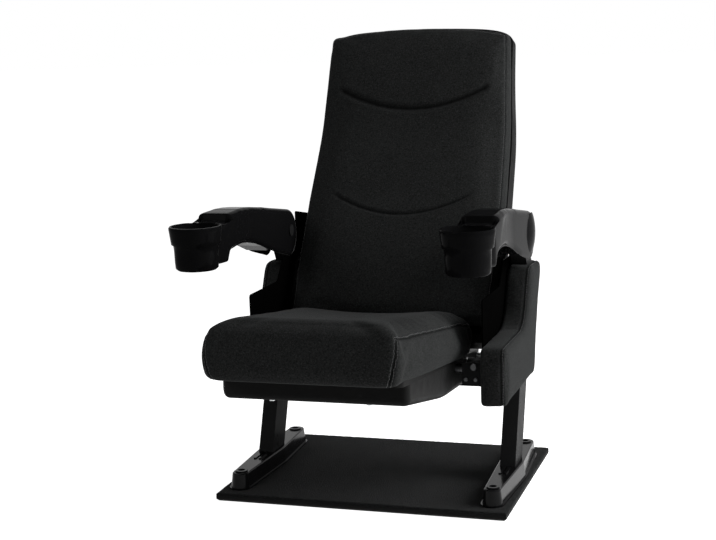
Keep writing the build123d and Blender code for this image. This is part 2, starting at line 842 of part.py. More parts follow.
def make_shell_screws():
    """The four screws that hold the shell on the frame's bars."""
    seat = back_screw_seat()
    tip = frame_offset - frame_bar_radius + frame_tube_wall
    screws = []
    for x, along in back_screw_places():
        screw = back_rod(back_screw_radius, x, along, seat, tip)
        screws.append(screw + back_rod(back_head_radius, x, along, seat - back_head_height, seat))
    return group(*screws)


def upright_path(x):
    """The bent centre line of one upright of the back's frame."""
    start = back_point(lower_bar_height, frame_offset)
    bend = spine_corners(frame_offset)[1]
    end = back_point(upper_bar_height + 2 * frame_tube_radius, frame_offset)
    line = FilletPolyline(start, bend, end, radius=spine_bend_radius - frame_offset)
    return Plane.YZ.offset(x) * line


def make_uprights():
    """The frame's two bent tubes, notched over the lower bar."""
    lower_bar = back_point(lower_bar_height, frame_offset)
    tubes = []
    for x in (-frame_half_spread, frame_half_spread):
        path = upright_path(x)
        ring = Circle(frame_tube_radius) - Circle(frame_tube_radius - frame_tube_wall)
        tube = sweep(Plane(origin=path @ 0, z_dir=path % 0) * ring, path=path)
        tubes.append(tube - rod(frame_tube_radius, *lower_bar, -pad_half_width, pad_half_width))
    return group(*tubes)


def make_back_bars():
    """The lower bar from plate to plate, and the two bars between the uprights."""
    lower_bar = back_point(lower_bar_height, frame_offset)
    bore = rod(frame_tube_radius - frame_tube_wall, *lower_bar, -back_plate_outer_x, back_plate_outer_x)
    bars = [rod(frame_tube_radius, *lower_bar, -back_plate_outer_x, back_plate_outer_x) - bore]
    for along in (middle_bar_height, upper_bar_height):
        place = back_point(along, frame_offset)
        bar = rod(frame_bar_radius, *place, -frame_half_spread, frame_half_spread)
        bar -= rod(frame_bar_radius - frame_tube_wall, *place, -frame_half_spread, frame_half_spread)
        for x in (-frame_half_spread, frame_half_spread):
            path = upright_path(x)
            bar -= sweep(Plane(origin=path @ 0, z_dir=path % 0) * Circle(frame_tube_radius), path=path)
        for x in (-back_screw_x, back_screw_x):
            bar -= back_rod(back_screw_radius, x, along, 2 * frame_offset, frame_offset)
        bars.append(bar)
    return group(*bars)


# ---------------------------------------------------------------- recline hinge
def seat_point(along, up):
    """A point in the tilted seat: a distance behind its front edge and above the cushion's underside."""
    tilt = math.radians(seat_tilt)
    return (
        seat_front_y + along * math.cos(tilt) + up * math.sin(tilt),
        seat_front_z - along * math.sin(tilt) + up * math.cos(tilt),
    )


def drive_along():
    """Where the drive bar lies along the seat: straight below the recline pivot."""
    tilt = math.radians(seat_tilt)
    return (recline_pivot[0] - seat_front_y - rail_middle * math.sin(tilt)) / math.cos(tilt)


def make_recline_plate():
    """The steel plate each side of the back: welded to the lower bar, hung on the pivot, slotted below."""
    lower_bar = back_point(lower_bar_height, frame_offset)
    drive = seat_point(drive_along(), rail_middle)
    circles = [
        Pos(*lower_bar) * Circle(frame_tube_radius + recline_plate_margin),
        Pos(*recline_pivot) * Circle(recline_bush_radius + recline_plate_margin),
    ]
    lever = [
        Pos(*recline_pivot) * Circle(recline_bush_radius + recline_plate_margin / 2),
        Pos(*drive) * Circle(drive_radius + recline_plate_margin),
    ]
    outline = make_hull([circle.edges()[0] for circle in circles])
    outline += make_hull([circle.edges()[0] for circle in lever])
    outline -= Pos(*lower_bar) * Circle(frame_tube_radius)
    outline -= Pos(*recline_pivot) * Circle(recline_bush_radius)
    slot_width = 2 * (drive_radius + sliding_gap)
    outline -= Pos(*drive) * Rot(0, 0, 90) * SlotOverall(slot_width + 4, slot_width)
    return side_plate(outline, back_plate_inner_x, back_plate_outer_x)


def make_recline_bush():
    """The rubber torsion bush in a plate, which turns on the recline pin."""
    x_from = back_plate_inner_x - 2
    x_to = back_plate_outer_x + 2
    bush = rod(recline_bush_radius, *recline_pivot, back_plate_inner_x, back_plate_outer_x)
    bush += rod(recline_bush_radius - 3, *recline_pivot, x_from, x_to)
    return bush - rod(recline_pin_radius + running_gap, *recline_pivot, x_from, x_to)


def make_recline_pin():
    """The shoulder bolt through a post: head outside the post, washer inside the plate."""
    outside = post_x + post_width / 2
    inside = back_plate_inner_x - 2 - sliding_gap
    pin = rod(recline_pin_radius, *recline_pivot, inside, outside)
    pin += rod(recline_washer_radius, *recline_pivot, outside, outside + recline_head_height)
    return pin + rod(recline_washer_radius, *recline_pivot, inside - 2, inside)


# ---------------------------------------------------------------- seat cushion, board and pan
def cushion_section(along, low, high, half_width, dish):
    """The cushion across its width: flat below, bulged sides, a top that dips in the middle."""
    foot = half_width - 20
    shoulder = half_width - 24
    waist = low + 0.5 * (high - low)
    edges = [
        Line((-foot, low), (foot, low)),
        ThreePointArc((foot, low), (half_width, waist), (shoulder, high)),
        ThreePointArc((shoulder, high), (0, high - dish), (-shoulder, high)),
        ThreePointArc((-shoulder, high), (-half_width, waist), (-foot, low)),
    ]
    return seat_plane(along) * make_face(Wire(edges))


def make_seat_cushion():
    """The upholstered cushion, rounded at the front and rear and dished in the middle."""
    wide = cushion_half_width
    high = cushion_height
    long = cushion_length
    stations = [
        (-12, 30, high - 34, wide - 40, -1),
        (-8, 16, high - 18, wide - 28, -1),
        (2, 5, high - 6, wide - 19, -1),
        (20, 0, high, wide - 13, -1),
        (60, 0, high, wide - 10, 1),
        (140, 0, high - 2, wide - 7, cushion_dish / 2),
        (240, 0, high - 5, wide - 4, cushion_dish),
        (340, 0, high - 8, wide - 2, cushion_dish),
        (440, 0, high - 12, wide, cushion_dish),
        (510, 0, high - 19, wide, cushion_dish),
        (long - 18, 2, high - 28, wide - 6, cushion_dish / 2),
        (long - 5, 10, high - 38, wide - 18, 2),
        (long, 20, high - 48, wide - 30, 1),
    ]
    return loft([cushion_section(*station) for station in stations], ruled=True)


def make_seat_board():
    """The plywood board that the cushion is upholstered on."""
    half_width = seat_ply_half_width
    board = seat_bar(-half_width, half_width, seat_ply_front, seat_ply_rear, -seat_ply, 0)
    return fillet(board.edges().filter_by(Axis.X, reverse=True).filter_by(
        lambda edge: edge.length < 2 * seat_ply), 2 * seat_ply)


def pan_form(inset):
    """The pan's body, or its inside when inset by the wall: deep at the rear, swept up to the front."""
    under_board = seat_ply / math.cos(math.radians(seat_tilt))
    front = pan_front_y + inset
    rear = pan_rear_y - inset
    outline = rounded_outline([
        (front, seat_z(front) - under_board, 0),
        (front, pan_front_bottom_z + inset, pan_round - inset),
        (pan_belly_y, pan_belly_z + inset, 500),
        (rear, pan_rear_bottom_z + inset, pan_round - inset),
        (rear, seat_z(rear) - under_board, 0),
    ])
    half_width = pan_half_width - inset
    body = side_plate(outline, -half_width, half_width)
    corners = body.edges().filter_by(Axis.Z)
    body = fillet(corners, pan_round - inset)
    return body


def make_seat_pan():
    """The moulded pan under the seat: an open tray with bosses, bolt holes and notches for the rails."""
    pan = pan_form(0) - pan_form(pan_wall)
    for x, along in pan_screw_places():
        boss = seat_rod(pan_boss_radius, x, along, -seat_ply - rail_size - pan_boss_height, -seat_ply - rail_size)
        pan += boss & pan_form(0)
        pan -= seat_rod(back_screw_radius, x, along, -2 * cushion_height, rail_middle)
    for along in shoe_stations:
        pan -= rod(shoe_bolt_radius + soft_gap, *seat_point(along, rail_middle), -pan_half_width, pan_half_width)
    for side in (-1, 1):
        inner = side * (rail_outer_x - rail_size) - side * soft_gap
        outer = side * (rail_outer_x + soft_gap)
        pan -= seat_bar(min(inner, outer), max(inner, outer), seat_bar_stations[-1], drive_along(),
                        -seat_ply - rail_size - soft_gap, 0)
    return pan


def seat_rod(radius, x, along, up_from, up_to):
    """A round bar square to the seat board."""
    tilt = math.radians(seat_tilt)
    plane = Plane(origin=(x, *seat_point(along, up_from)), z_dir=(0, math.sin(tilt), math.cos(tilt)))
    return extrude(plane * Circle(radius), amount=up_to - up_from)


def pan_screw_places():
    """Where the pan's screws are: under the front and rear bars, on both sides."""
    stations = (seat_bar_stations[0] + rail_size / 2, seat_bar_stations[-1] + rail_size / 2)
    return [(x, along) for along in stations for x in (-pan_screw_x, pan_screw_x)]


def pan_depth(along):
    """How far below the cushion's underside the pan's outer bottom is, at a screw."""
    y, _ = seat_point(along, 0)
    front_slope = (pan_front_bottom_z - pan_belly_z) / (pan_belly_y - pan_front_y)
    rear_slope = (pan_belly_z - pan_rear_bottom_z) / (pan_rear_y - pan_belly_y)
    if y < pan_belly_y:
        return seat_z(y) - (pan_belly_z + (pan_belly_y - y) * front_slope)
    return seat_z(y) - (pan_belly_z - (y - pan_belly_y) * rear_slope)


def make_pan_screws():
    """The four screws that hold the pan under the seat's bars."""
    screws = []
    for x, along in pan_screw_places():
        low = -pan_depth(along)
        screw = seat_rod(back_screw_radius, x, along, low, -seat_ply - rail_size + rail_wall)
        screws.append(screw + seat_rod(back_head_radius, x, along, low - back_head_height, low))
    return group(*screws)


# ---------------------------------------------------------------- seat frame and its drive bar
def make_seat_rails():
    """The two long tubes of the seat frame, which run back to the drive bar."""
    rails = []
    drive = seat_point(drive_along(), rail_middle)
    rear = drive_along() + drive_margin
    for side in (-1, 1):
        inner = side * (rail_outer_x - rail_size)
        outer = side * rail_outer_x
        low, high = min(inner, outer), max(inner, outer)
        rail = seat_bar(low, high, rail_front, rear, -seat_ply - rail_size, -seat_ply)
        rail -= seat_bar(low + rail_wall, high - rail_wall, rail_front, rear,
                         -seat_ply - rail_size + rail_wall, -seat_ply - rail_wall)
        rail -= rod(drive_radius, *drive, low, high)
        for along in shoe_stations:
            rail -= rod(shoe_bolt_radius, *seat_point(along, rail_middle), low, high)
        rails.append(rail)
    return group(*rails)


def make_seat_bars():
    """The three cross tubes of the seat frame."""
    reach = rail_outer_x - rail_size
    bars = []
    for along in seat_bar_stations:
        bar = seat_bar(-reach, reach, along, along + rail_size, -seat_ply - rail_size, -seat_ply)
        bar -= seat_bar(-reach, reach, along + rail_wall, along + rail_size - rail_wall,
                        -seat_ply - rail_size + rail_wall, -seat_ply - rail_wall)
        for x, place in pan_screw_places():
            bar -= seat_rod(back_screw_radius, x, place, rail_middle - rail_size, rail_middle)
        bars.append(bar)
    return group(*bars)


def make_drive_bar():
    """The round bar that the recline plates push the seat by."""
    reach = back_plate_outer_x + 1
    return rod(drive_radius, *seat_point(drive_along(), rail_middle), -reach, reach)


# ---------------------------------------------------------------- seat guides
def make_shoe(along):
    """One nylon shoe that slides in a guide channel, bored for its bolt."""
    half = shoe_length / 2
    x_to = panel_inner_x - channel_wall - sliding_gap
    shoe = seat_bar(shoe_inner_x, x_to, along - half, along + half,
                    rail_middle - shoe_height / 2, rail_middle + shoe_height / 2)
    shoe = chamfer(shoe.edges().filter_by(Axis.X), 2)
    return shoe - rod(shoe_bolt_radius, *seat_point(along, rail_middle), shoe_inner_x, x_to)


def make_shoe_bolt(along):
    """The bolt from a seat rail to a shoe, with a collar on each side of the pan's wall."""
    place = seat_point(along, rail_middle)
    bolt = rod(shoe_bolt_radius, *place, rail_outer_x - rail_size, panel_inner_x - channel_wall - 2)
    bolt += rod(2 * shoe_bolt_radius, *place, rail_outer_x, pan_half_width - pan_wall - soft_gap)
    return bolt + rod(2 * shoe_bolt_radius, *place, pan_half_width + soft_gap, shoe_inner_x)


def make_channel():
    """The steel guide channel on a panel's inner side, closed at both ends, with a front flange."""
    half = shoe_height / 2 + sliding_gap
    low = rail_middle - half - channel_wall
    high = rail_middle + half + channel_wall
    channel = seat_bar(channel_inner_x, panel_inner_x, channel_front, channel_rear, low, high)
    channel -= seat_bar(channel_inner_x, panel_inner_x - channel_wall, channel_front + channel_wall,
                        channel_rear - channel_wall, low + channel_wall, high - channel_wall)
    flange = seat_bar(channel_flange_inner_x, panel_inner_x, channel_front, channel_front + channel_wall,
                      low - channel_flange_drop, high + channel_flange_drop / 2)
    channel += flange
    for x, up, radius in guide_bolt_places():
        channel -= guide_rod(radius, x, up, channel_front, channel_front + channel_wall)
    return channel


def guide_rod(radius, x, up, along_from, along_to):
    """A round bar that lies along the seat."""
    return extrude(seat_plane(along_to) * Pos(x, up) * Circle(radius), amount=along_to - along_from)


def guide_bolt_places():
    """Where the flange's three bolts are: one large above, two small below."""
    large_x = (channel_flange_inner_x + panel_inner_x) / 2 + guide_bolt_radius
    small = 0.6 * guide_bolt_radius
    low = rail_middle - shoe_height / 2 - channel_wall
    return [
        (large_x, rail_middle + shoe_height / 2, guide_bolt_radius),
        (channel_flange_inner_x + 2 * guide_bolt_radius, low, small),
        (panel_inner_x - 3 * guide_bolt_radius, low, small),
    ]


def make_guide_bolts():
    """The round-headed bolts in a channel's front flange."""
    bolts = []
    for x, up, radius in guide_bolt_places():
        bolt = guide_rod(radius, x, up, channel_front, channel_front + channel_wall)
        head = guide_rod(1.9 * radius, x, up, channel_front - radius, channel_front)
        bolts.append(bolt + chamfer(head.faces().sort_by(Axis.Y)[0].edges(), 0.4 * radius))
    return bolts


def make_buffer():
    """The rubber buffer at a channel's rear end, which stops the seat and the back at rest."""
    front = shoe_stations[-1] + shoe_length / 2 + sliding_gap
    middle = (shoe_inner_x + panel_inner_x - channel_wall) / 2
    return seat_bar(middle - buffer_width / 2, middle + buffer_width / 2, front, channel_rear - channel_wall,
                    rail_middle - shoe_height / 3, rail_middle + shoe_height / 3)


# ---------------------------------------------------------------- what is written
def make_stand():
    board, carpet = make_board()
    save("floor_board", board)
    save("floor_carpet", carpet)
    save_sides("foot_plate", make_foot_plate())
    save_sides("foot_cover", make_foot_cover())
    save_sides("post", make_post())
    save_sides("panel_core", make_panel_core())
    save_sides("panel_cover", make_panel_cover())
    save_sides("arm_bracket", make_arm_bracket())
    save_sides("arm_stop", make_arm_stop())
    save_sides("guide_channel", make_channel())
    save("cross_beam", make_beam())
    save_pairs("anchor_bolts", *[make_anchor(y) for y in (anchor_front_y, anchor_rear_y)])
    save_pairs("anchor_caps", *[make_anchor_cap(y) for y in (anchor_front_y, anchor_rear_y)])
    save_pairs("arm_bushes", *make_arm_bushes())
    save_pairs("recline_pins", make_recline_pin())
    save_pairs("guide_bolts", *make_guide_bolts())
    save_pairs("guide_buffers", make_buffer())


def make_back():
    save("back_pad", make_back_pad())
    save("back_board", make_back_board())
    save("back_shell", make_back_shell())
    save("back_uprights", make_uprights())
    save("back_bars", make_back_bars())
    save("shell_screws", make_shell_screws())
    save_sides("recline_plate", make_recline_plate())
    save_pairs("recline_bushes", make_recline_bush())


def make_seat():
    save("seat_cushion", make_seat_cushion())
    save("seat_board", make_seat_board())
    save("seat_pan", make_seat_pan())
    save("seat_rails", make_seat_rails())
    save("seat_bars", make_seat_bars())
    save("drive_bar", make_drive_bar())
    save("pan_screws", make_pan_screws())
    save_pairs("glide_shoes", *[make_shoe(along) for along in shoe_stations])
    save_pairs("shoe_bolts", *[make_shoe_bolt(along) for along in shoe_stations])


def make_arms():
    save_sides("arm", make_arm())
    save_sides("arm_pin", make_arm_pin())
    save_sides("pivot_cap", make_pivot_cap())


def main():
    make_stand()
    make_back()
    make_seat()
    make_arms()


main()
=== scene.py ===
import json
import math

import bmesh
import bpy
import numpy as np
from bpy.props import FloatProperty, FloatVectorProperty, PointerProperty
from mathutils import Matrix


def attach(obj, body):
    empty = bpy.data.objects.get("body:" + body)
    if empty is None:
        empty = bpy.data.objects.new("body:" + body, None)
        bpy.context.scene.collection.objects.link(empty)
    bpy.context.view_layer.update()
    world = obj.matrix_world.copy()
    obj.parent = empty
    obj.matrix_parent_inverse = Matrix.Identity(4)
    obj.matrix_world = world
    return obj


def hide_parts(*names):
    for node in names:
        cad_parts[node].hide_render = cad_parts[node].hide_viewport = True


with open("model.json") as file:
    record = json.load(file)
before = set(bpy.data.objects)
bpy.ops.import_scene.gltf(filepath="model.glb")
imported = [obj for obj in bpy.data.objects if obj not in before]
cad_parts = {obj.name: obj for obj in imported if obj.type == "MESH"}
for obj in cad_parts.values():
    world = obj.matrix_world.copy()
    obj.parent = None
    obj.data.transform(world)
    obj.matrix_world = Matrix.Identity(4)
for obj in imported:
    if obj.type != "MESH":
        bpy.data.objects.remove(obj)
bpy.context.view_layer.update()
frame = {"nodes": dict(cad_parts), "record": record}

bl_info = {
    "name": "Cinema recliner seat",
    "version": (1, 0, 0),
    "blender": (4, 5, 0),
    "location": "View3D > Sidebar > Seat",
    "description": "Dresses the cinema recliner seat: upholstery, carpet, moulded parts, finishes and stage",
    "category": "Object",
}

MM = 0.001
DEG = math.pi / 180
SHARP_ANGLE = 35 * DEG

# Places in millimetres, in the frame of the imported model.
SEAT_FRONT = (-556, 361)
SEAT_TILT = 6.4 * DEG
BOARD_WRAP = 11.6  # how far the cushion's cover reaches down round the seat board
SPINE_FOOT = (36, 349)
LOWER_RAKE = 32 * DEG
UPPER_RAKE = 19 * DEG
LOWER_LENGTH = 467
PAD_LENGTH = 730
SPINE_RADIUS = 400
PAD_REAR = -30
PAD_FRONT = 38
PANEL_INNER = 259
PANEL_OUTER = 313
BOARD_HALF = (320, 240)
CARPET_TOP = 18


# ---------------------------------------------------------------- settings
def size_setting(name, description, value, **limits):
    """A length in the sidebar."""
    return FloatProperty(name=name, description=description, default=value, unit="LENGTH", **limits)


def colour_setting(name, description, value):
    """A colour in the sidebar."""
    return FloatVectorProperty(name=name, description=description, subtype="COLOR", default=value,
                               size=3, min=0, max=1)


def power_setting(name, description, value):
    """A light's power in the sidebar."""
    return FloatProperty(name=name, description=description, default=value, unit="POWER")


class SeatSoftGoods(bpy.types.PropertyGroup):
    """Sizes of the padded pieces."""
    swell: size_setting("Swell", "Most that the seat's foam may swell", 0.012, min=0.001, max=0.03)
    pressure: FloatProperty(name="Filling pressure", description="Push of the foam on its cover", default=4.0)
    voxel: size_setting("Cover mesh", "Size of the mesh cells of a padded piece", 0.006, min=0.004, max=0.01)
    crease_depth: size_setting("Crease depth", "Depth of the upper sewn crease of the back", 0.0075)
    seam_depth: size_setting("Seam depth", "How far a seam pulls the cover in", 0.0022)
    stitch_pitch: size_setting("Stitch pitch", "Distance from one stitch to the next", 0.0055)


class SeatFinishes(bpy.types.PropertyGroup):
    """Colours of the finishes."""
    cloth: colour_setting("Cloth", "Charcoal woven upholstery", (0.0150, 0.0156, 0.0155))
    gloss: colour_setting("Gloss plastic", "Polished armrests and foot covers", (0.005, 0.005, 0.0053))
    satin: colour_setting("Satin plastic", "Seat pan", (0.018, 0.018, 0.018))
    shell: colour_setting("Shell plastic", "Rear shell", (0.009, 0.009, 0.0092))
    steel: colour_setting("Painted steel", "Powder coated posts and frames", (0.020, 0.020, 0.0205))
    carpet: colour_setting("Carpet", "Short pile on the floor board", (0.0125, 0.0129, 0.0131))


class SeatStage(bpy.types.PropertyGroup):
    """Light levels of the stage."""
    side_light: power_setting("Side light", "Power of the soft light from the right", 100.0)
    front_light: power_setting("Front light", "Power of the soft light from the front left", 10.0)
    top_light: power_setting("Top light", "Power of the soft light from above", 1.2)
    room_level: FloatProperty(name="Room level", description="Light of the room on matt surfaces",
                              default=0.11)


# ---------------------------------------------------------------- node trees
def join(tree, socket, value):
    """Links another node's output to a socket, or sets the socket's own value."""
    if isinstance(value, bpy.types.NodeSocket):
        tree.links.new(value, socket)
    else:
        socket.default_value = value


class Tree:
    """A short way to add and join the nodes of one tree."""

    def __init__(self, tree):
        self.tree = tree

    def add(self, kind, inputs=None, **settings):
        node = self.tree.nodes.new(kind)
        for name, value in settings.items():
            setattr(node, name, value)
        for key, value in (inputs or {}).items():
            join(self.tree, node.inputs[key], value)
        return node

    def math(self, operation, *values):
        return self.add("ShaderNodeMath", dict(enumerate(values)), operation=operation).outputs[0]

    def vector(self, operation, *values):
        return self.add("ShaderNodeVectorMath", dict(enumerate(values)), operation=operation).outputs[0]

    def split(self, vector):
        return self.add("ShaderNodeSeparateXYZ", {0: vector}).outputs

    def ramp(self, value, low, high, from_low=0.0, from_high=1.0):
        inputs = {"Value": value, "From Min": from_low, "From Max": from_high, "To Min": low, "To Max": high}
        return self.add("ShaderNodeMapRange", inputs).outputs["Result"]

    def mix(self, share, first, second):
        return self.add("ShaderNodeMix", {0: share, 6: first, 7: second}, data_type="RGBA").outputs[2]


class Finish(Tree):
    """The nodes of one material, round its principled shader and in object coordinates."""

    def __init__(self, name):
        self.material = bpy.data.materials.new(name)
        self.material.use_nodes = True
        super().__init__(self.material.node_tree)
        self.shader = self.tree.nodes["Principled BSDF"]
        self.place = self.add("ShaderNodeTexCoord").outputs["Object"]

    def noise(self, scale, detail=2.0, roughness=0.5):
        """Noise of one scale, or drawn out where each axis has its own."""
        place = self.place
        if isinstance(scale, tuple):
            place = self.add("ShaderNodeMapping", {"Vector": place, "Scale": scale}).outputs["Vector"]
            scale = 1.0
        inputs = {"Vector": place, "Scale": scale, "Detail": detail, "Roughness": roughness}
        return self.add("ShaderNodeTexNoise", inputs).outputs["Fac"]

    def weave(self, pitch):
        """Height of a plain weave on a surface that faces any way."""
        turns = self.vector("MULTIPLY", self.place, (2 * math.pi / pitch,) * 3)
        wave = self.split(self.vector("SINE", turns))
        facing = self.add("ShaderNodeTexCoord").outputs["Normal"]
        for _ in range(2):
            facing = self.vector("MULTIPLY", facing, facing)
        facing = self.split(facing)
        total = self.math("ADD", self.math("ADD", facing[0], facing[1]), self.math("ADD", facing[2], 0.0001))
        threads = 0.0
        for first, second, across in ((1, 2, 0), (0, 2, 1), (0, 1, 2)):
            part = self.math("MULTIPLY", self.math("MULTIPLY", wave[first], wave[second]), facing[across])
            threads = self.math("ADD", threads, part)
        return self.ramp(self.math("DIVIDE", threads, total), 0.0, 1.0, -1.0, 1.0)

    def done(self, colour, roughness, height, strength, distance, sockets=None):
        """Joins colour, roughness and a bump height to the shader, and sets its other sockets."""
        bump = self.add("ShaderNodeBump", {"Height": height, "Strength": strength, "Distance": distance})
        joined = {"Base Color": colour, "Roughness": roughness, "Normal": bump.outputs["Normal"]}
        for name, value in {**joined, **(sockets or {})}.items():
            join(self.tree, self.shader.inputs[name], value)
        return self.material


def tone(colour, factor=1.0):
    """A colour made lighter or darker."""
    return (*(min(1.0, part * factor) for part in colour), 1.0)


def make_cloth(name, colour, pitch=0.0032):
    """Woven charcoal cloth: threads, flecks, soft sheen, slow changes of tone, and painted shade in its seams
    and creases.
    """
    cloth = Finish(name)
    threads = cloth.weave(pitch)
    fibres = cloth.noise(1400, 3, 0.7)
    flecks = cloth.noise(420, 2, 0.6)
    patches = cloth.noise(9, 3, 0.55)
    shade = cloth.math("MULTIPLY", cloth.ramp(threads, 0.55, 1.0), cloth.ramp(fibres, 0.6, 1.4, 0.25, 0.75))
    shade = cloth.math("MULTIPLY", shade, cloth.ramp(patches, 0.88, 1.12, 0.3, 0.7))
    base = cloth.mix(shade, tone(colour, 0.35), tone(colour, 1.75))
    base = cloth.mix(cloth.ramp(cloth.noise(300, 3, 0.75), 0.75, 0.0, 0.34, 0.56), base, tone(colour, 0.3))
    pale = cloth.mix(cloth.ramp(flecks, 0.0, 0.8, 0.54, 0.72), base, tone(colour, 3.0))
    height = cloth.math("ADD", cloth.math("MULTIPLY", threads, 0.7), cloth.math("MULTIPLY", fibres, 0.6))
    # Painted shade: where sew() marked a groove, the colour is darkened towards a near black, standing in for
    # the shade that falls into seams and creases.
    sunk = cloth.add("ShaderNodeAttribute", attribute_name="seam").outputs["Fac"]
    return cloth.done(cloth.mix(sunk, pale, tone(colour, 0.12)), cloth.ramp(fibres, 0.78, 0.98), height,
                      0.5, 0.0006, {"Sheen Weight": 0.045, "Sheen Roughness": 0.4,
                                    "Sheen Tint": (0.7, 0.71, 0.72, 1), "Specular IOR Level": 0.03})


def make_gloss(name, colour, shine):
    """Polished black moulding: slight waviness, fine rubbed scratches, dust and a thin clear top layer."""
    gloss = Finish(name)
    rubbed = gloss.noise((60, 900, 260), 4, 0.65)
    handled = gloss.noise(14, 3, 0.6)
    dust = gloss.noise(1800, 1, 0.5)
    roughness = gloss.math("ADD", gloss.ramp(rubbed, 0.0, 0.10, 0.5, 0.8),
                           gloss.ramp(handled, 0.10, 0.20, 0.35, 0.7))
    base = gloss.mix(gloss.ramp(dust, 0.0, 0.5, 0.6, 0.8), tone(colour), tone(colour, 2.4))
    height = gloss.math("ADD", gloss.noise(90), gloss.math("MULTIPLY", rubbed, 0.12))
    return gloss.done(base, roughness, height, 0.10, 0.0005,
                      {"Specular IOR Level": shine, "Coat Weight": 0.01, "Coat Roughness": 0.03})


def make_satin(name, colour, shine, grain=1300, rough=(0.36, 0.52)):
    """Moulded or coated black with a fine grain and scuffs."""
    satin = Finish(name)
    slow = satin.noise(18, 3, 0.6)
    scuffs = satin.noise((35, 420, 90), 4, 0.7)
    base = satin.mix(satin.ramp(scuffs, 0.0, 0.55, 0.62, 0.82), tone(colour, 0.9), tone(colour, 2.2))
    base = satin.mix(satin.ramp(slow, 0.0, 0.5, 0.3, 0.7), base, tone(colour, 0.6))
    return satin.done(base, satin.ramp(slow, *rough, 0.3, 0.7), satin.noise(grain, 2, 0.6), 0.25, 0.0004,
                      {"Specular IOR Level": shine})


def make_zinc(name, level=1.0):
    """Plated steel with brushed marks, bright or dull."""
    zinc = Finish(name)
    brushed = zinc.noise((300, 300, 2400), 3, 0.6)
    base = zinc.mix(zinc.ramp(zinc.noise(160, 2, 0.6), 0.0, 1.0, 0.35, 0.7),
                    tone((0.60, 0.61, 0.62), level), tone((0.40, 0.41, 0.43), level))
    return zinc.done(base, zinc.ramp(brushed, 0.24, 0.46, 0.3, 0.7), brushed, 0.2, 0.0002, {"Metallic": 1.0})


def make_ply(name, light, dark, shine=0.5, veneer=0.0028):
    """Plywood: long grain, veneer lines on the edges and small pores."""
    ply = Finish(name)
    grain = ply.noise((9, 240, 240), 5, 0.65)
    pores = ply.noise((60, 1500, 900), 2, 0.6)
    height = ply.split(ply.place)[2]
    lines = ply.ramp(ply.math("SINE", ply.math("MULTIPLY", height, 2 * math.pi / veneer)), 0.0, 0.35, -1, 1)
    base = ply.mix(lines, ply.mix(ply.ramp(grain, 0.0, 1.0, 0.3, 0.7), tone(light), tone(dark)), tone(dark))
    return ply.done(base, ply.ramp(pores, 0.5, 0.75, 0.3, 0.7), pores, 0.3, 0.0004,
                    {"Specular IOR Level": shine})


def make_cloudy(name, first, second, clouds, spread, rough, grain, strength, distance):
    """Rubber or nylon: two close tones in clouds, under a fine grain."""
    mass = Finish(name)
    cloudy = mass.noise(clouds, 3, 0.6)
    base = mass.mix(mass.ramp(cloudy, 0.0, 1.0, *spread), tone(first), tone(second))
    return mass.done(base, mass.ramp(cloudy, *rough, 0.3, 0.7), mass.noise(grain, 2, 0.6), strength, distance)


def make_carpet_pile(name, colour):
    """Short dark pile: tufts, flecked yarn and trodden patches."""
    carpet = Finish(name)
    tufts = carpet.add("ShaderNodeTexVoronoi", {"Vector": carpet.place, "Scale": 420.0}).outputs["Distance"]
    yarn = carpet.noise(1100, 3, 0.75)
    trodden = carpet.noise(11, 3, 0.6)
    shade = carpet.math("MULTIPLY", carpet.ramp(tufts, 1.0, 0.25, 0.0, 0.7),
                        carpet.ramp(yarn, 0.45, 1.4, 0.25, 0.75))
    shade = carpet.math("MULTIPLY", shade, carpet.ramp(trodden, 0.8, 1.15, 0.3, 0.7))
    base = carpet.mix(shade, tone(colour, 0.35), tone(colour, 2.0))
    height = carpet.math("ADD", carpet.ramp(tufts, 1.0, 0.0, 0.0, 0.8), carpet.math("MULTIPLY", yarn, 0.7))
    return carpet.done(base, carpet.ramp(yarn, 0.88, 1.0), height, 0.8, 0.0018,
                       {"Sheen Weight": 0.04, "Sheen Roughness": 0.5, "Specular IOR Level": 0.03})


def make_thread(name, colour):
    """Twisted sewing thread."""
    thread = Finish(name)
    twist = thread.noise((1500, 1500, 1500), 2, 0.6)
    base = thread.mix(thread.ramp(twist, 0.0, 1.0, 0.3, 0.7), tone(colour, 0.5), tone(colour, 1.6))
    return thread.done(base, thread.ramp(twist, 0.55, 0.8, 0.3, 0.7), twist, 0.4, 0.0002,
                       {"Sheen Weight": 0.2})


# Each finish: what makes it, then its values, where a word is the name of a colour in the sidebar.
FINISHES = {
    "upholstery": (make_cloth, "cloth"),
    "panel_cloth": (make_cloth, "cloth", 0.0028),
    "gloss_black": (make_gloss, "gloss", 0.06),
    "arm_gloss": (make_gloss, "gloss", 0.004),
    "satin_black": (make_satin, "satin", 0.01),
    "shell_black": (make_satin, "shell", 0.008),
    # Painted shade: a black so deep and dull that even lit faces stay black, standing in for the shade in the
    # gaps beside the seat and the back.
    "matt_black": (make_satin, (0.0015, 0.0015, 0.0015), 0.0),
    "painted_steel": (make_satin, "steel", 0.004, 420, (0.24, 0.36)),
    "bright_steel": (make_zinc,),
    "dull_steel": (make_zinc, 0.12),
    "rubber_black": (make_cloudy, (0.016, 0.016, 0.016), (0.036, 0.036, 0.035), 120, (0.35, 0.75),
                     (0.7, 0.88), 900, 0.3, 0.0004),
    "nylon": (make_cloudy, (0.66, 0.63, 0.55), (0.74, 0.72, 0.66), 220, (0.3, 0.7), (0.34, 0.5),
              1500, 0.15, 0.0003),
    "carpet": (make_carpet_pile, "carpet"),
    "board_wood": (make_ply, (0.34, 0.24, 0.15), (0.22, 0.145, 0.085)),
    # The floor board's black is its own stain; on the seat board the same black is painted shade for the dark
    # line between the cushion and the pan.
    "stained_board": (make_ply, (0.010, 0.010, 0.010), (0.005, 0.005, 0.005), 0.05),
    "thread": (make_thread, (0.035, 0.036, 0.037)),
}


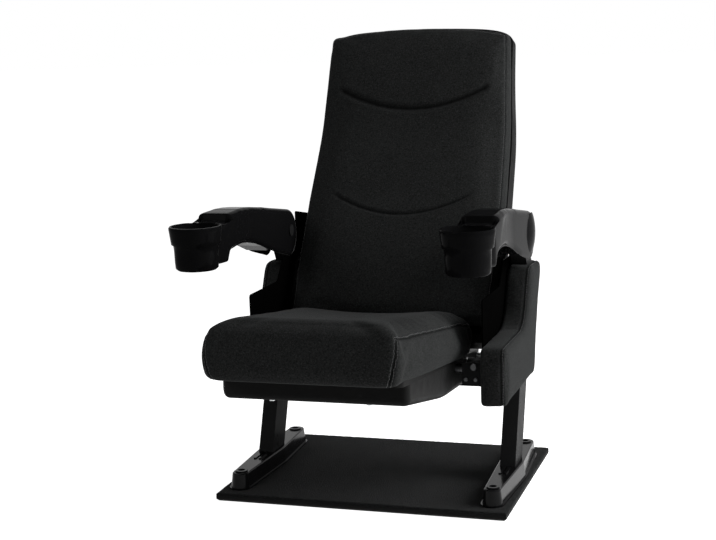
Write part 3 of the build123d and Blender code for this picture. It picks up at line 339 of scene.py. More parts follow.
def finish(name):
    """A finish of this seat, made when it is first asked for."""
    known = bpy.data.materials.get(f"seat_{name}")
    if known:
        return known
    colours = bpy.context.scene.seat_finishes
    maker, *values = FINISHES[name]
    return maker(f"seat_{name}", *(getattr(colours, value) if isinstance(value, str) else value
                                   for value in values))


# ---------------------------------------------------------------- mesh work
def smoothstep(value, low, high):
    """0 below low, 1 above high and smooth between them."""
    share = np.clip((np.asarray(value, float) - low) / (high - low), 0, 1)
    return share * share * (3 - 2 * share)


def look_up(table, place, column=1):
    """A column of a table at places between its rows."""
    return np.interp(place, table[:, 0], table[:, column])


def rounded_block(half, radius, cuts):
    """The corners and faces of a closed block with rounded edges, finer towards its edges, in millimetres."""
    block = bmesh.new()
    bmesh.ops.create_cube(block, size=2)
    bmesh.ops.subdivide_edges(block, edges=block.edges[:], cuts=cuts, use_grid_fill=True)
    points = np.array([vertex.co[:] for vertex in block.verts])
    block.verts.index_update()
    faces = [[vertex.index for vertex in face.verts] for face in block.faces]
    block.free()
    half = np.array(half, float)
    points = np.sin(points * math.pi / 2) * half
    inner = np.clip(points, radius - half, half - radius)
    reach = points - inner
    length = np.linalg.norm(reach, axis=1, keepdims=True)
    return inner + reach / np.maximum(length, 1e-9) * radius * (length > 1e-9), faces


def skin(rings):
    """The points and faces of a closed form from equal rings, with flat ends."""
    count, last = len(rings[0]), (len(rings) - 1) * len(rings[0])
    faces = [list(range(count)), list(range(last, last + count))[::-1]]
    for start in range(0, last, count):
        for step in range(count):
            after = (step + 1) % count
            faces.append([start + step, start + count + step, start + count + after, start + after])
    return np.concatenate(rings), faces


def add_object(name, data):
    """A new object in the scene."""
    item = bpy.data.objects.new(name, data)
    bpy.context.scene.collection.objects.link(item)
    return item


def make_piece(name, points, faces, material, smooth=True):
    """A new piece from points in millimetres, its normals turned outwards."""
    mesh = bpy.data.meshes.new(name)
    mesh.from_pydata((np.asarray(points) * MM).tolist(), [], faces)
    shape = bmesh.new()
    shape.from_mesh(mesh)
    bmesh.ops.recalc_face_normals(shape, faces=shape.faces[:])
    shape.to_mesh(mesh)
    shape.free()
    shade_smooth(mesh, smooth)
    mesh.materials.append(material)
    return add_object(name, mesh)


def shade_smooth(mesh, smooth=True):
    """Smooth or flat shading on every face."""
    mesh.polygons.foreach_set("use_smooth", [smooth] * len(mesh.polygons))


def read(items, what, width, kind=float):
    """One property of all items of a mesh, a row for each."""
    found = np.empty(len(items) * width, dtype=kind)
    items.foreach_get(what, found)
    return found.reshape(-1, width)


def places(piece):
    """A piece's vertices in millimetres."""
    return read(piece.data.vertices, "co", 3) / MM


def move_to(piece, points):
    """Gives a piece's vertices new places in millimetres."""
    piece.data.vertices.foreach_set("co", (points * MM).ravel())
    piece.data.update()


def settle(piece):
    """Applies a piece's modifiers to its mesh."""
    bpy.context.view_layer.update()
    graph = bpy.context.evaluated_depsgraph_get()
    mesh = bpy.data.meshes.new_from_object(piece.evaluated_get(graph))
    name, old = piece.data.name, piece.data
    piece.modifiers.clear()
    piece.data = mesh
    bpy.data.meshes.remove(old)
    mesh.name = name
    shade_smooth(mesh)


def modify(piece, kind, **settings):
    """Applies one modifier to a piece."""
    modifier = piece.modifiers.new(kind.title(), kind)
    for name, value in settings.items():
        setattr(modifier, name, value)
    settle(piece)


def relax(points, edges, rounds, keep):
    """Averages each point with its neighbours; keep is 1 where a point stays."""
    count = np.bincount(edges.ravel(), minlength=len(points))[:, None]
    for _ in range(rounds):
        total = np.zeros_like(points)
        np.add.at(total, edges[:, 0], points[edges[:, 1]])
        np.add.at(total, edges[:, 1], points[edges[:, 0]])
        points = points * keep + (total / np.maximum(count, 1)) * (1 - keep)
    return points


SWELL_FRAMES = 20


def inflate(piece, soft, held, limit):
    """Swells a padded piece like foam in its cover: held marks the points that stay, limit is in mm."""
    before = places(piece)
    group = piece.vertex_groups.new(name="held")
    for index in np.nonzero(held > 0.01)[0]:
        group.add([int(index)], float(held[index]), "REPLACE")
    cover = piece.modifiers.new("Cover", "CLOTH")
    cover.settings.use_pressure = True
    cover.settings.uniform_pressure_force = soft.pressure
    cover.settings.effector_weights.gravity = 0
    cover.settings.vertex_group_mass = "held"
    cover.settings.quality = 5
    cover.point_cache.frame_start = 1
    cover.point_cache.frame_end = SWELL_FRAMES
    scene = bpy.context.scene
    for moment in range(1, SWELL_FRAMES + 1):
        scene.frame_set(moment)
    shaped = piece.evaluated_get(bpy.context.evaluated_depsgraph_get())
    step = read(shaped.data.vertices, "co", 3) / MM - before
    piece.modifiers.clear()
    piece.vertex_groups.clear()
    scene.frame_set(1)
    length = np.linalg.norm(step, axis=1, keepdims=True)
    step *= limit * np.tanh(length / limit) / np.maximum(length, 1e-6)
    edges = read(piece.data.edges, "vertices", 2, int)
    move_to(piece, before + relax(step, edges, 3, 0.4) * (1 - held[:, None]))


def near_line(points, line):
    """Distance from each point to a polyline, and how far along the line its nearest place is."""
    line = np.asarray(line, float)
    best = np.full(len(points), 1e9)
    where = np.zeros(len(points))
    start = 0.0
    for first, second in zip(line[:-1], line[1:]):
        step = second - first
        length = np.linalg.norm(step)
        share = np.clip((points - first) @ step / max(length ** 2, 1e-9), 0, 1)
        gap = np.linalg.norm(points - first - share[:, None] * step, axis=1)
        closer = gap < best
        best[closer] = gap[closer]
        where[closer] = start + share[closer] * length
        start += length
    return best, where


PUCKER_LENGTHS = (17, 41)  # two lengths of wave, which together look irregular


def sew(piece, line, depth, width, fade=0.0, pucker=0.25, bulge=0.12, dark=0.8):
    """Pulls the cover in along a line, with small puckers and a soft rise beside it, in millimetres, and
    paints shade into the groove.
    """
    points = places(piece)
    low, high = np.min(line, axis=0) - 4 * width, np.max(line, axis=0) + 4 * width
    chosen = np.nonzero(np.all((points > low) & (points < high), axis=1))[0]
    gap, where = near_line(points[chosen], line)
    total = np.sum(np.linalg.norm(np.diff(line, axis=0), axis=1))
    ends = np.ones(len(chosen))
    if fade:
        ends = smoothstep(where, 0, fade) * smoothstep(total - where, 0, fade)
    short, long = (np.sin(where * 2 * math.pi / length) for length in PUCKER_LENGTHS)
    groove = np.exp(-(gap / width) ** 2) * (1 + pucker * short * long)
    rise = bulge * np.exp(-((gap - 2.3 * width) / width) ** 2)
    facing = read(piece.data.vertex_normals, "vector", 3)
    points[chosen] -= facing[chosen] * ((groove - rise) * depth * ends)[:, None]
    move_to(piece, points)
    # Painted shade: dark sets how strongly the cloth's colour is darkened along the groove, for the shade
    # that falls into it.
    shade = piece.data.attributes.get("seam") or piece.data.attributes.new("seam", "FLOAT", "POINT")
    values = read(shade.data, "value", 1, np.float32)[:, 0]
    values[chosen] = np.maximum(values[chosen], dark * np.exp(-(gap / (0.8 * width)) ** 2) * ends)
    shade.data.foreach_set("value", values)


def resample(line, pitch):
    """A polyline with even steps."""
    line = np.asarray(line, float)
    steps = np.linalg.norm(np.diff(line, axis=0), axis=1)
    along = np.concatenate([[0], np.cumsum(steps)])
    wanted = np.linspace(0, along[-1], max(2, int(along[-1] / pitch) + 1))
    return np.stack([np.interp(wanted, along, part) for part in line.T], axis=1)


def closed(ring):
    """A ring with its first point once more at its end."""
    return np.vstack([ring, ring[:1]])


def laid_on(piece, line, rise=0.0):
    """A line brought onto a piece's surface."""
    result = []
    for point in line:
        _, place, facing, _ = piece.closest_point_on_mesh([part * MM for part in point])
        result.append([(place[axis] + facing[axis] * rise * MM) / MM for axis in range(3)])
    return np.array(result)


def beside(piece, line, gap):
    """A line moved sideways over a piece's surface."""
    line = laid_on(piece, line)
    along = np.gradient(line, axis=0)
    along /= np.maximum(np.linalg.norm(along, axis=1, keepdims=True), 1e-9)
    facing = np.array([piece.closest_point_on_mesh([p * MM for p in point])[2][:] for point in line])
    return laid_on(piece, line + np.cross(facing, along) * gap, 0.15)


# ---------------------------------------------------------------- stitches in Geometry Nodes
def stitch_tree():
    """Rows of short stitches along the edges of the piece."""
    group = bpy.data.node_groups.new("Stitch rows", "GeometryNodeTree")
    face = group.interface
    face.new_socket("Rows", in_out="INPUT", socket_type="NodeSocketGeometry")
    for name in ("Pitch", "Length", "Thickness"):
        face.new_socket(name, in_out="INPUT", socket_type="NodeSocketFloat")
    face.new_socket("Thread", in_out="INPUT", socket_type="NodeSocketMaterial")
    face.new_socket("Stitches", in_out="OUTPUT", socket_type="NodeSocketGeometry")
    tree = Tree(group)
    rows = tree.add("NodeGroupInput").outputs
    curve = tree.add("GeometryNodeMeshToCurve", {"Mesh": rows["Rows"]}).outputs[0]
    even = tree.add("GeometryNodeResampleCurve", {"Curve": curve, "Length": rows["Pitch"]},
                    mode="LENGTH").outputs[0]
    shank = tree.add("GeometryNodeMeshCylinder", {"Vertices": 6, "Radius": rows["Thickness"],
                                                  "Depth": rows["Length"]}).outputs["Mesh"]
    ends = tree.add("GeometryNodeMeshUVSphere", {"Segments": 6, "Rings": 4,
                                                 "Radius": rows["Thickness"]}).outputs["Mesh"]
    above = tree.add("ShaderNodeCombineXYZ", {"Z": tree.math("MULTIPLY", rows["Length"], 0.5)}).outputs[0]
    stitch = tree.add("GeometryNodeJoinGeometry")
    group.links.new(shank, stitch.inputs[0])
    for end in (above, tree.vector("MULTIPLY", above, (-1, -1, -1))):
        cap = tree.add("GeometryNodeTransform", {"Geometry": ends, "Translation": end}).outputs[0]
        group.links.new(cap, stitch.inputs[0])
    along = tree.add("GeometryNodeInputTangent").outputs[0]
    turn = tree.add("FunctionNodeAlignRotationToVector", {"Vector": along}, axis="Z").outputs[0]
    spread = tree.add("GeometryNodeInstanceOnPoints",
                      {"Points": even, "Instance": stitch.outputs[0], "Rotation": turn}).outputs[0]
    real = tree.add("GeometryNodeRealizeInstances", {"Geometry": spread}).outputs[0]
    thread = tree.add("GeometryNodeSetMaterial", {"Geometry": real, "Material": rows["Thread"]}).outputs[0]
    tree.add("NodeGroupOutput", {"Stitches": thread})
    return group


def sew_rows(name, lines, body, length=3.6, thickness=0.5):
    """One piece of stitches from several lines, riding on a body."""
    soft = bpy.context.scene.seat_soft_goods
    points, pairs = [], []
    for line in lines:
        start = len(points)
        points += line.tolist()
        pairs += [(start + step, start + step + 1) for step in range(len(line) - 1)]
    mesh = bpy.data.meshes.new(name)
    mesh.from_pydata((np.array(points) * MM).tolist(), pairs, [])
    piece = add_object(name, mesh)
    maker = piece.modifiers.new("Stitches", "NODES")
    maker.node_group = bpy.data.node_groups.get("Stitch rows") or stitch_tree()
    values = {"Pitch": soft.stitch_pitch, "Length": length * MM, "Thickness": thickness * MM,
              "Thread": finish("thread")}
    for item in maker.node_group.interface.items_tree:
        if item.in_out == "INPUT" and item.name in values:
            maker[item.identifier] = values[item.name]
    settle(piece)
    if not len(piece.data.polygons):
        raise RuntimeError(f"no stitches were made for {name}")
    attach(piece, body)


# ---------------------------------------------------------------- seat cushion
CUSHION_TABLE = np.array([
    # along, low, high, half width, dish
    (-12, 12, 72, 186, 0), (-10, 4, 82, 192, 0), (-6, -4, 90, 197, 0), (2, -9, 97, 201, 0),
    (14, -12, 101, 204, 0), (30, -12, 103, 205, 0), (60, -12, 103, 206, 1), (140, -12, 101, 209, 5),
    (240, -12, 98, 212, 9), (340, -12, 95, 214, 10), (440, -12, 91, 216, 10), (500, -12, 84, 216, 9),
    (530, -10, 78, 214, 7), (548, -4, 70, 208, 4), (558, 6, 62, 200, 2), (562, 18, 52, 188, 0),
], float)
CUSHION_START, CUSHION_END = -12, 562
CUSHION_STATIONS = np.concatenate([[CUSHION_START, -11, -9, -6, -2, 3, 9, 16, 24, 34, 46],
                                   np.arange(60, 500, 16),
                                   [500, 512, 522, 530, 538, 545, 551, 556, 560, CUSHION_END]])
CUSHION_SLACK = 5  # the cover starts this much smaller than the foam, which then swells it
# across, along and up
CORNER_SEAM = np.array([(200, 2, 90), (197, -4, 80), (192, -8, 60), (187, -9, 35), (180, -8, 8),
                        (172, 6, -11)], float)
EDGE_SEAM = np.array([(200, 2, 90), (208, 40, 90), (211, 120, 87), (214, 240, 84), (216, 340, 82),
                      (217, 430, 78), (215, 500, 70), (205, 545, 58)], float)
STITCH_GAP = 4.0  # from a seam to the stitches beside it


def seat_place(x, along, up):
    """A point of the tilted seat: across, behind the front edge and above the cushion's underside."""
    y = SEAT_FRONT[0] + along * math.cos(SEAT_TILT) + up * math.sin(SEAT_TILT)
    z = SEAT_FRONT[1] - along * math.sin(SEAT_TILT) + up * math.cos(SEAT_TILT)
    return np.stack(np.broadcast_arrays(x, y, z), axis=-1)


def seat_height(points):
    """How far above the cushion's underside points are."""
    return ((points[:, 1] - SEAT_FRONT[0]) * math.sin(SEAT_TILT)
            + (points[:, 2] - SEAT_FRONT[1]) * math.cos(SEAT_TILT))


def rounded_ring(control, rounds=3):
    """A closed smooth ring from a few corner points, by cutting corners."""
    ring = np.array(control, float)
    for _ in range(rounds):
        after = np.roll(ring, -1, axis=0)
        ring = np.stack([0.75 * ring + 0.25 * after, 0.25 * ring + 0.75 * after], axis=1).reshape(-1, 2)
    return ring


def cushion_ring(along):
    """One cross-section of the cushion: flat below, full sides, raised bolsters and a dished middle."""
    low, high, wide, dish = (look_up(CUSHION_TABLE, along, column) for column in range(1, 5))
    shrink = CUSHION_SLACK * smoothstep(along, CUSHION_START, 40) * smoothstep(CUSHION_END - along, 0, 40)
    low, high, wide = low + shrink * 0.3, high - shrink, wide - shrink
    tall = high - low
    side = [(0.5 * wide, low), (wide - 22, low), (wide - 7, low + 0.10 * tall), (wide, low + 0.38 * tall),
            (wide, low + 0.62 * tall), (wide - 4, high - 0.17 * tall), (wide - 15, high - 0.03 * tall),
            (wide - 34, high), (wide - 70, high - 0.22 * dish), (0.40 * wide, high - 0.75 * dish),
            (0.14 * wide, high - dish)]
    ring = rounded_ring(side + [(-x, z) for x, z in side[::-1]])
    return seat_place(ring[:, 0], along, ring[:, 1])


class SEAT_OT_cushion(bpy.types.Operator):
    """Make the upholstered seat cushion with its seams and stitches."""
    bl_idname = "seat.cushion"
    bl_label = "Seat cushion"

    def execute(self, context):
        soft = context.scene.seat_soft_goods
        rings = [cushion_ring(along) for along in CUSHION_STATIONS]
        piece = make_piece("seat_cushion_cover", *skin(rings), finish("upholstery"))
        modify(piece, "REMESH", mode="VOXEL", voxel_size=soft.voxel)
        held = 1 - smoothstep(seat_height(places(piece)), 4 - BOARD_WRAP, 22 - BOARD_WRAP)
        inflate(piece, soft, held, soft.swell / MM)
        modify(piece, "SUBSURF", levels=1)
        points = places(piece)
        sunk = np.maximum(-BOARD_WRAP - seat_height(points), 0)
        move_to(piece, points + sunk[:, None] * np.array([0, math.sin(SEAT_TILT), math.cos(SEAT_TILT)]))
        rows = []
        for side in (-1, 1):
            corner, edge = (laid_on(piece, resample(seat_place(side * x, along, up), 4))
                            for x, along, up in (CORNER_SEAM.T, EDGE_SEAM.T))
            sew(piece, corner, soft.seam_depth / MM, 3.0)
            sew(piece, edge, soft.seam_depth / MM, 3.2)
            rows += [beside(piece, corner, STITCH_GAP), beside(piece, corner, -STITCH_GAP),
                     beside(piece, edge, STITCH_GAP * side)]
        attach(piece, "seat")
        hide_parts("seat_cushion")
        sew_rows("seat_cushion_stitches", rows, "seat")
        return {"FINISHED"}


# ---------------------------------------------------------------- back pad
def spine_place(x, along, offset):
    """A point of the back: across, up the bent spine and forward of it."""
    bend = LOWER_RAKE - UPPER_RAKE
    run = SPINE_RADIUS * bend
    start = LOWER_LENGTH - SPINE_RADIUS * math.tan(bend / 2)
    lower = np.minimum(along, start)
    angle = LOWER_RAKE - np.clip(along - start, 0, run) / run * bend
    upper = np.maximum(along - start - run, 0)
    arc_y = SPINE_RADIUS * (np.cos(angle) - math.cos(LOWER_RAKE))
    arc_z = SPINE_RADIUS * (math.sin(LOWER_RAKE) - np.sin(angle))
    y = (SPINE_FOOT[0] + lower * math.sin(LOWER_RAKE) + arc_y + upper * math.sin(UPPER_RAKE)
         - offset * np.cos(angle))
    z = (SPINE_FOOT[1] + lower * math.cos(LOWER_RAKE) + arc_z + upper * math.cos(UPPER_RAKE)
         + offset * np.sin(angle))
    return np.stack(np.broadcast_arrays(x, y, z), axis=-1)


def spine_measure(points, foot, count):
    """How far up the spine and forward of it points are, and which way the spine runs there."""
    steps = np.linspace(foot, PAD_LENGTH + 30, count)
    line = spine_place(0, steps, 0)[:, 1:]
    direction = np.gradient(line, axis=0)
    direction /= np.linalg.norm(direction, axis=1, keepdims=True)
    parts = np.array_split(points[:, 1:], len(points) // 4000 + 1)
    nearest = np.concatenate([np.argmin(np.linalg.norm(part[:, None] - line[None], axis=2), axis=1)
                              for part in parts])
    step = points[:, 1:] - line[nearest]
    direction = direction[nearest]
    return steps[nearest], step[:, 1] * direction[:, 0] - step[:, 0] * direction[:, 1], direction


PAD_HALF = 236
PAD_WIDTHS = np.array([(349, 236), (420, 238), (450, 240), (600, 240), (700, 236), (800, 231), (850, 228),
                       (900, 225), (960, 221), (1010, 217)], float)  # height, half width
TOP_ARCH = 17  # how far the pad's upper corners lie below the middle of its top
CREASES = (
    # half span, lowest height, rise of the ends, share of the crease depth, width, fade, painted shade in the
    # crease
    (188, 813, 53, 1.0, 6.2, 22, 0.75),
    (176, 581, 51, 0.6, 3.8, 40, 0.65),
)


def pad_width(along):
    """Half the pad's width."""
    return look_up(PAD_WIDTHS, spine_place(0, along, 0)[:, 2])


def pad_form():
    """The closed pad: rounded edges, crowned front, arched top and sides drawn in between its corners."""
    depth = (PAD_FRONT - PAD_REAR) / 2
    points, faces = rounded_block((PAD_HALF, depth, PAD_LENGTH / 2), 12, 76)
    offset, along = points[:, 1] + depth + PAD_REAR, points[:, 2] + PAD_LENGTH / 2
    share = np.abs(points[:, 0]) / PAD_HALF
    front = smoothstep(offset, PAD_REAR, PAD_FRONT)
    high = smoothstep(along, PAD_LENGTH - 160, PAD_LENGTH)
    low = smoothstep(60 - along, 0, 60)
    along = along - high * TOP_ARCH * share ** 2 + low * 7 * share ** 3
    offset = offset - front * (10 * share ** 4 + 4.5)
    offset = offset - front * 9 * smoothstep(along, PAD_LENGTH - 70, PAD_LENGTH)
    waist = 1 - 0.008 * np.sin(np.clip(along / PAD_LENGTH, 0, 1) * math.pi)
    return spine_place(points[:, 0] / PAD_HALF * (pad_width(along) - 2) * waist, along, offset), faces


def crease_line(half_span, low_z, rise):
    """One sewn smile on the pad's front, before it is brought onto the surface."""
    share = np.linspace(-1, 1, 41)
    steps = np.linspace(0, PAD_LENGTH, 200)
    along = np.interp(low_z + rise * share ** 2, spine_place(0, steps, PAD_FRONT)[:, 2], steps)
    return spine_place(share * half_span, along, PAD_FRONT)


def pad_seam(offset):
    """The seam round the pad where its front meets the boxing strip."""
    along = 14 + np.linspace(0, 1, 60) * (PAD_LENGTH - 40)
    right = spine_place(pad_width(along) - 1, along, offset)
    across = np.linspace(206, -206, 40)
    top = spine_place(across, PAD_LENGTH - 1 - TOP_ARCH * (across / 221) ** 2, offset)
    return np.concatenate([right, top, right[::-1] * np.array([-1, 1, 1])])


class SEAT_OT_back_pad(bpy.types.Operator):
    """Make the upholstered back pad with its two sewn creases, boxing seam and stitches."""
    bl_idname = "seat.back_pad"
    bl_label = "Back pad"

    def execute(self, context):
        soft = context.scene.seat_soft_goods
        piece = make_piece("back_pad_cover", *pad_form(), finish("upholstery"))
        modify(piece, "REMESH", mode="VOXEL", voxel_size=soft.voxel)
        offset = spine_measure(places(piece), -20, 300)[1]
        inflate(piece, soft, 1 - smoothstep(offset, PAD_REAR + 3, PAD_REAR + 44), 6)
        modify(piece, "SUBSURF", levels=1)
        lines = [laid_on(piece, crease_line(*crease[:3])) for crease in CREASES]
        for line, (*_, share, width, fade, dark) in zip(lines, CREASES):
            sew(piece, line, share * soft.crease_depth / MM, width, fade, 0.10, 0.08, dark)
        seam = laid_on(piece, resample(pad_seam(PAD_FRONT - 20), 5))
        sew(piece, seam, 0.8 * soft.seam_depth / MM, 3.0)
        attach(piece, "back")
        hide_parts("back_pad")
        sew_rows("back_pad_stitches", [beside(piece, seam, STITCH_GAP)], "back")
        return {"FINISHED"}


# ---------------------------------------------------------------- side panels
PANEL_CORNERS = [(-193, 227, 5), (111, 227, 5), (206, 470, 14), (92, 470, 30), (30, 347, 80), (-193, 347, 14)]
PANEL_EDGE = 7  # radius of the panel's edges
PANEL_LOOSE = 1.5  # how far the cover stands off the core


def rounded_corners(corners, pitch):
    """A closed outline in even steps, with an arc of a given radius at each corner."""
    outline = []
    for index, (y, z, radius) in enumerate(corners):
        here = np.array([y, z], float)
        before = np.array(corners[index - 1][:2], float) - here
        after = np.array(corners[(index + 1) % len(corners)][:2], float) - here
        before /= np.linalg.norm(before)
        after /= np.linalg.norm(after)
        half = math.acos(np.clip(before @ after, -1, 1)) / 2
        centre = here + (before + after) / np.linalg.norm(before + after) * radius / math.sin(half)
        first = here + before * radius / math.tan(half) - centre
        last = here + after * radius / math.tan(half) - centre
        for share in np.linspace(0, 1, 9):
            turn = np.sign(first[0] * last[1] - first[1] * last[0]) * share * (math.pi - 2 * half)
            outline.append(centre + np.array([first[0] * math.cos(turn) - first[1] * math.sin(turn),
                                              first[0] * math.sin(turn) + first[1] * math.cos(turn)]))
    return resample(closed(np.array(outline)), pitch)[:-1]


def upright_ring(x, outline):
    """An outline seen from the side, at its place across the seat."""
    return np.column_stack([np.full(len(outline), x), outline])


def panel_ring(x, inset):
    """The panel's outline at one place across, drawn in where the edges are rounded."""
    steps = rounded_corners(PANEL_CORNERS, 5)
    along = np.roll(steps, -1, axis=0) - np.roll(steps, 1, axis=0)
    facing = np.column_stack([along[:, 1], -along[:, 0]])
    facing /= np.linalg.norm(facing, axis=1, keepdims=True)
    if np.sum((steps - steps.mean(axis=0)) * facing) < 0:
        facing = -facing
    return upright_ring(x, steps - facing * inset)


class SEAT_OT_side_panels(bpy.types.Operator):
    """Make the two upholstered side panels with their seams and stitches."""
    bl_idname = "seat.side_panels"
    bl_label = "Side panels"

    def execute(self, context):
        soft = context.scene.seat_soft_goods
        angles = np.linspace(0, 1, 7) * math.pi / 2
        rise, cut = (1 - np.cos(angles)) * PANEL_EDGE, (1 - np.sin(angles)) * PANEL_EDGE - PANEL_LOOSE
        rings = [panel_ring(PANEL_INNER + 0.3 + up, inset) for up, inset in zip(rise, cut)]
        rings += [panel_ring(PANEL_OUTER + PANEL_LOOSE - up, inset)
                  for up, inset in zip(rise[::-1], cut[::-1])]
        right = make_piece("right_panel_upholstery", *skin(rings), finish("panel_cloth"))
        modify(right, "REMESH", mode="VOXEL", voxel_size=0.8 * soft.voxel)
        inflate(right, soft, 1 - smoothstep(places(right)[:, 0], PANEL_INNER + 2, PANEL_INNER + 14), 3)
        modify(right, "SUBSURF", levels=1)
        seam = laid_on(right, closed(panel_ring(PANEL_OUTER - 9, 0)))
        sew(right, seam, 0.6 * soft.seam_depth / MM, 2.6)
        stitches = beside(right, seam, STITCH_GAP)
        left = add_object("left_panel_upholstery", right.data.copy())
        left.data.name = left.name
        left.data.transform(Matrix.Scale(-1, 4, (1, 0, 0)))
        left.data.flip_normals()
        for side, piece in (("left", left), ("right", right)):
            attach(piece, "stand")
            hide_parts(f"{side}_panel_cover")
        sew_rows("panel_stitches", [stitches, stitches * np.array([-1, 1, 1])], "stand", 3.2, 0.45)
        return {"FINISHED"}


# ---------------------------------------------------------------- moulded parts, shaped from their solids
def sliced_copy(name, node, axis, low, high, pitch, material):
    """A merged copy of a node's mesh, cut into even slices along an axis so that it can be curved."""
    shape = bmesh.new()
    shape.from_mesh(frame["nodes"][node].data)
    bmesh.ops.remove_doubles(shape, verts=shape.verts[:], dist=0.00002)
    across = np.eye(3)[axis]
    for place in np.arange(low, high, pitch):
        bmesh.ops.bisect_plane(shape, geom=shape.verts[:] + shape.edges[:] + shape.faces[:], dist=0.00001,
                               plane_co=across * place * MM, plane_no=across)
    bmesh.ops.triangulate(shape, faces=[face for face in shape.faces if len(face.verts) > 4])
    mesh = bpy.data.meshes.new(name)
    shape.to_mesh(mesh)
    shape.free()
    mesh.materials.clear()
    mesh.materials.append(material)
    return add_object(name, mesh)


def smooth_skin(piece):
    """Smooth shading with crisp edges, and flat faces that stay flat."""
    shade_smooth(piece.data)
    piece.data.set_sharp_from_angle(angle=SHARP_ANGLE)
    modify(piece, "WEIGHTED_NORMAL", keep_sharp=True)


ARM_PIVOT = (95, 547)
ARM_MIDDLE = 281
ARM_HALF = 28.5
CUP_MIDDLE = -362
CUP_REAR = -335
CUP_RIM = 617
RIM_BACK = 42  # how far the nose's upper edge lies behind the cup's rim
CUP_RAISED = 3.5
CUP_FULLER = 0.09  # below its step
BAND_FULLER = 0.025  # above its step
NOSE_WIDER = 0.20
NOSE_SPAN = (-290, -90)
BOSS_KEPT = (16, 44)  # from the pivot: the boss keeps its form within the first, and not past the second
FLOOR_GAP, FLOOR_THICKNESS = 0.8, 3.0
# y, the height in the solid, the height that the photograph shows
ARM_TOP = np.array([(-305, 636, 628), (-260, 636, 633), (-217, 636, 634), (-181, 636, 633),
                    (-150, 634, 630.5), (-117, 629, 627), (-60, 620.5, 619.5), (-16, 613, 613),
                    (60, 600.5, 601.5), (102, 593.5, 595), (142, 590, 592)], float)
ARM_ARCH = np.array([(-300, 566, 562), (-269, 566, 557), (-222, 566, 560), (-200, 566, 560),
                     (-165, 565, 556.5), (-120, 555, 547.5), (-80, 544, 536), (0, 523, 508),
                     (45, 511, 496), (83, 501.5, 487), (142, 500, 480)], float)


def nose_wider(y):
    """The share by which the arm is wider towards its cup."""
    return NOSE_WIDER * (1 - smoothstep(y, *NOSE_SPAN))


def arm_shape(points):
    """Gives an armrest its long hump, deeper arch, wide nose and full cup, and leaves its pivot."""
    x, y, z = points.T
    behind_cup = smoothstep(y, CUP_REAR + 8, CUP_REAR + 40)
    top, arch = look_up(ARM_TOP, y), look_up(ARM_ARCH, y)
    share = np.clip((z - arch) / (top - arch), 0, 1)
    upper = share * (look_up(ARM_TOP, y, 2) - top)
    lower = (1 - share) * (look_up(ARM_ARCH, y, 2) - arch)
    free = smoothstep(np.hypot(y - ARM_PIVOT[0], z - ARM_PIVOT[1]), *BOSS_KEPT)
    step = np.where(y > -60, np.maximum(-15, lower * free) + upper * smoothstep(y, -60, 40) * free,
                    (lower + upper) * behind_cup * free * smoothstep(z, 528, 545))
    back = RIM_BACK * smoothstep(z, CUP_RIM, CUP_RIM + 1) * np.clip((y - CUP_REAR - 21) / 5, 0, 1)
    back = back * (1 - smoothstep(y, -310, -140))
    full = CUP_FULLER * (1 - smoothstep(z, 530, 577)) + BAND_FULLER * smoothstep(z, 579, 580.5)
    fuller = 1 + (1 - behind_cup) * full
    raised = CUP_RAISED * (1 - smoothstep(y, -300, -250))
    side = np.sign(x) * ARM_MIDDLE
    return np.column_stack([side + (x - side) * (1 + behind_cup * nose_wider(y)) * fuller,
                            CUP_MIDDLE + (y + back - CUP_MIDDLE) * fuller, z + step + raised])


def arm_floor(middle):
    """The closed underside of an armrest between its walls, from the cup to where the bracket needs room."""
    rings = []
    for y in np.linspace(-296, -28, 28):
        low, half = look_up(ARM_ARCH, y, 2) + FLOOR_GAP, ARM_HALF * (1 + nose_wider(y))
        high = low + FLOOR_THICKNESS
        rings.append([(middle - half, y, low), (middle + half, y, low),
                      (middle + half, y, high), (middle - half, y, high)])
    return skin(rings)


class SEAT_OT_armrests(bpy.types.Operator):
    """Shape the two moulded armrests with their cups: humped top, arched and closed underside."""
    bl_idname = "seat.armrests"
    bl_label = "Armrests"

    def execute(self, context):
        for name, side in (("left", -1), ("right", 1)):
            piece = sliced_copy(f"{name}_arm_moulding", f"{name}_arm", 1, -332, 140, 7, finish("arm_gloss"))
            move_to(piece, arm_shape(places(piece)))
            smooth_skin(piece)
            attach(piece, f"{name}_arm")
            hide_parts(f"{name}_arm")
            floor = make_piece(f"{name}_arm_underside", *arm_floor(side * ARM_MIDDLE), finish("arm_gloss"),
                               False)
            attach(floor, f"{name}_arm")
        return {"FINISHED"}


# y, z and the corner's radius: the plate leaves room for the arm's boss, which turns in front of its top.
SIDE_PLATE = [(-150, 316, 6), (118, 316, 6), (152, 400, 30), (226, 480, 30), (256, 566, 8), (154, 584, 4),
              (154, 520, 12), (128, 488, 12), (60, 488, 12), (20, 440, 12), (-150, 440, 6)]
PLATE_INNER = 255.6
PLATE_OUTER = 258.8


class SEAT_OT_side_plates(bpy.types.Operator):
    """Make the plates inside the side panels, which close the gaps beside the seat and the back; their deep
    black is painted shade.
    """
    bl_idname = "seat.side_plates"
    bl_label = "Side plates"

    def execute(self, context):
        outline = rounded_corners(SIDE_PLATE, 4)
        for name, side in (("left", -1), ("right", 1)):
            rings = [upright_ring(side * x, outline) for x in (PLATE_INNER, PLATE_OUTER)]
            # The plates' deep black is painted shade for the gaps beside the seat and the back.
            piece = make_piece(f"{name}_side_plate", *skin(rings), finish("matt_black"), False)
            modify(piece, "BEVEL", width=0.0008, segments=2, limit_method="ANGLE")
            piece.data.set_sharp_from_angle(angle=SHARP_ANGLE)
            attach(piece, "stand")
        return {"FINISHED"}


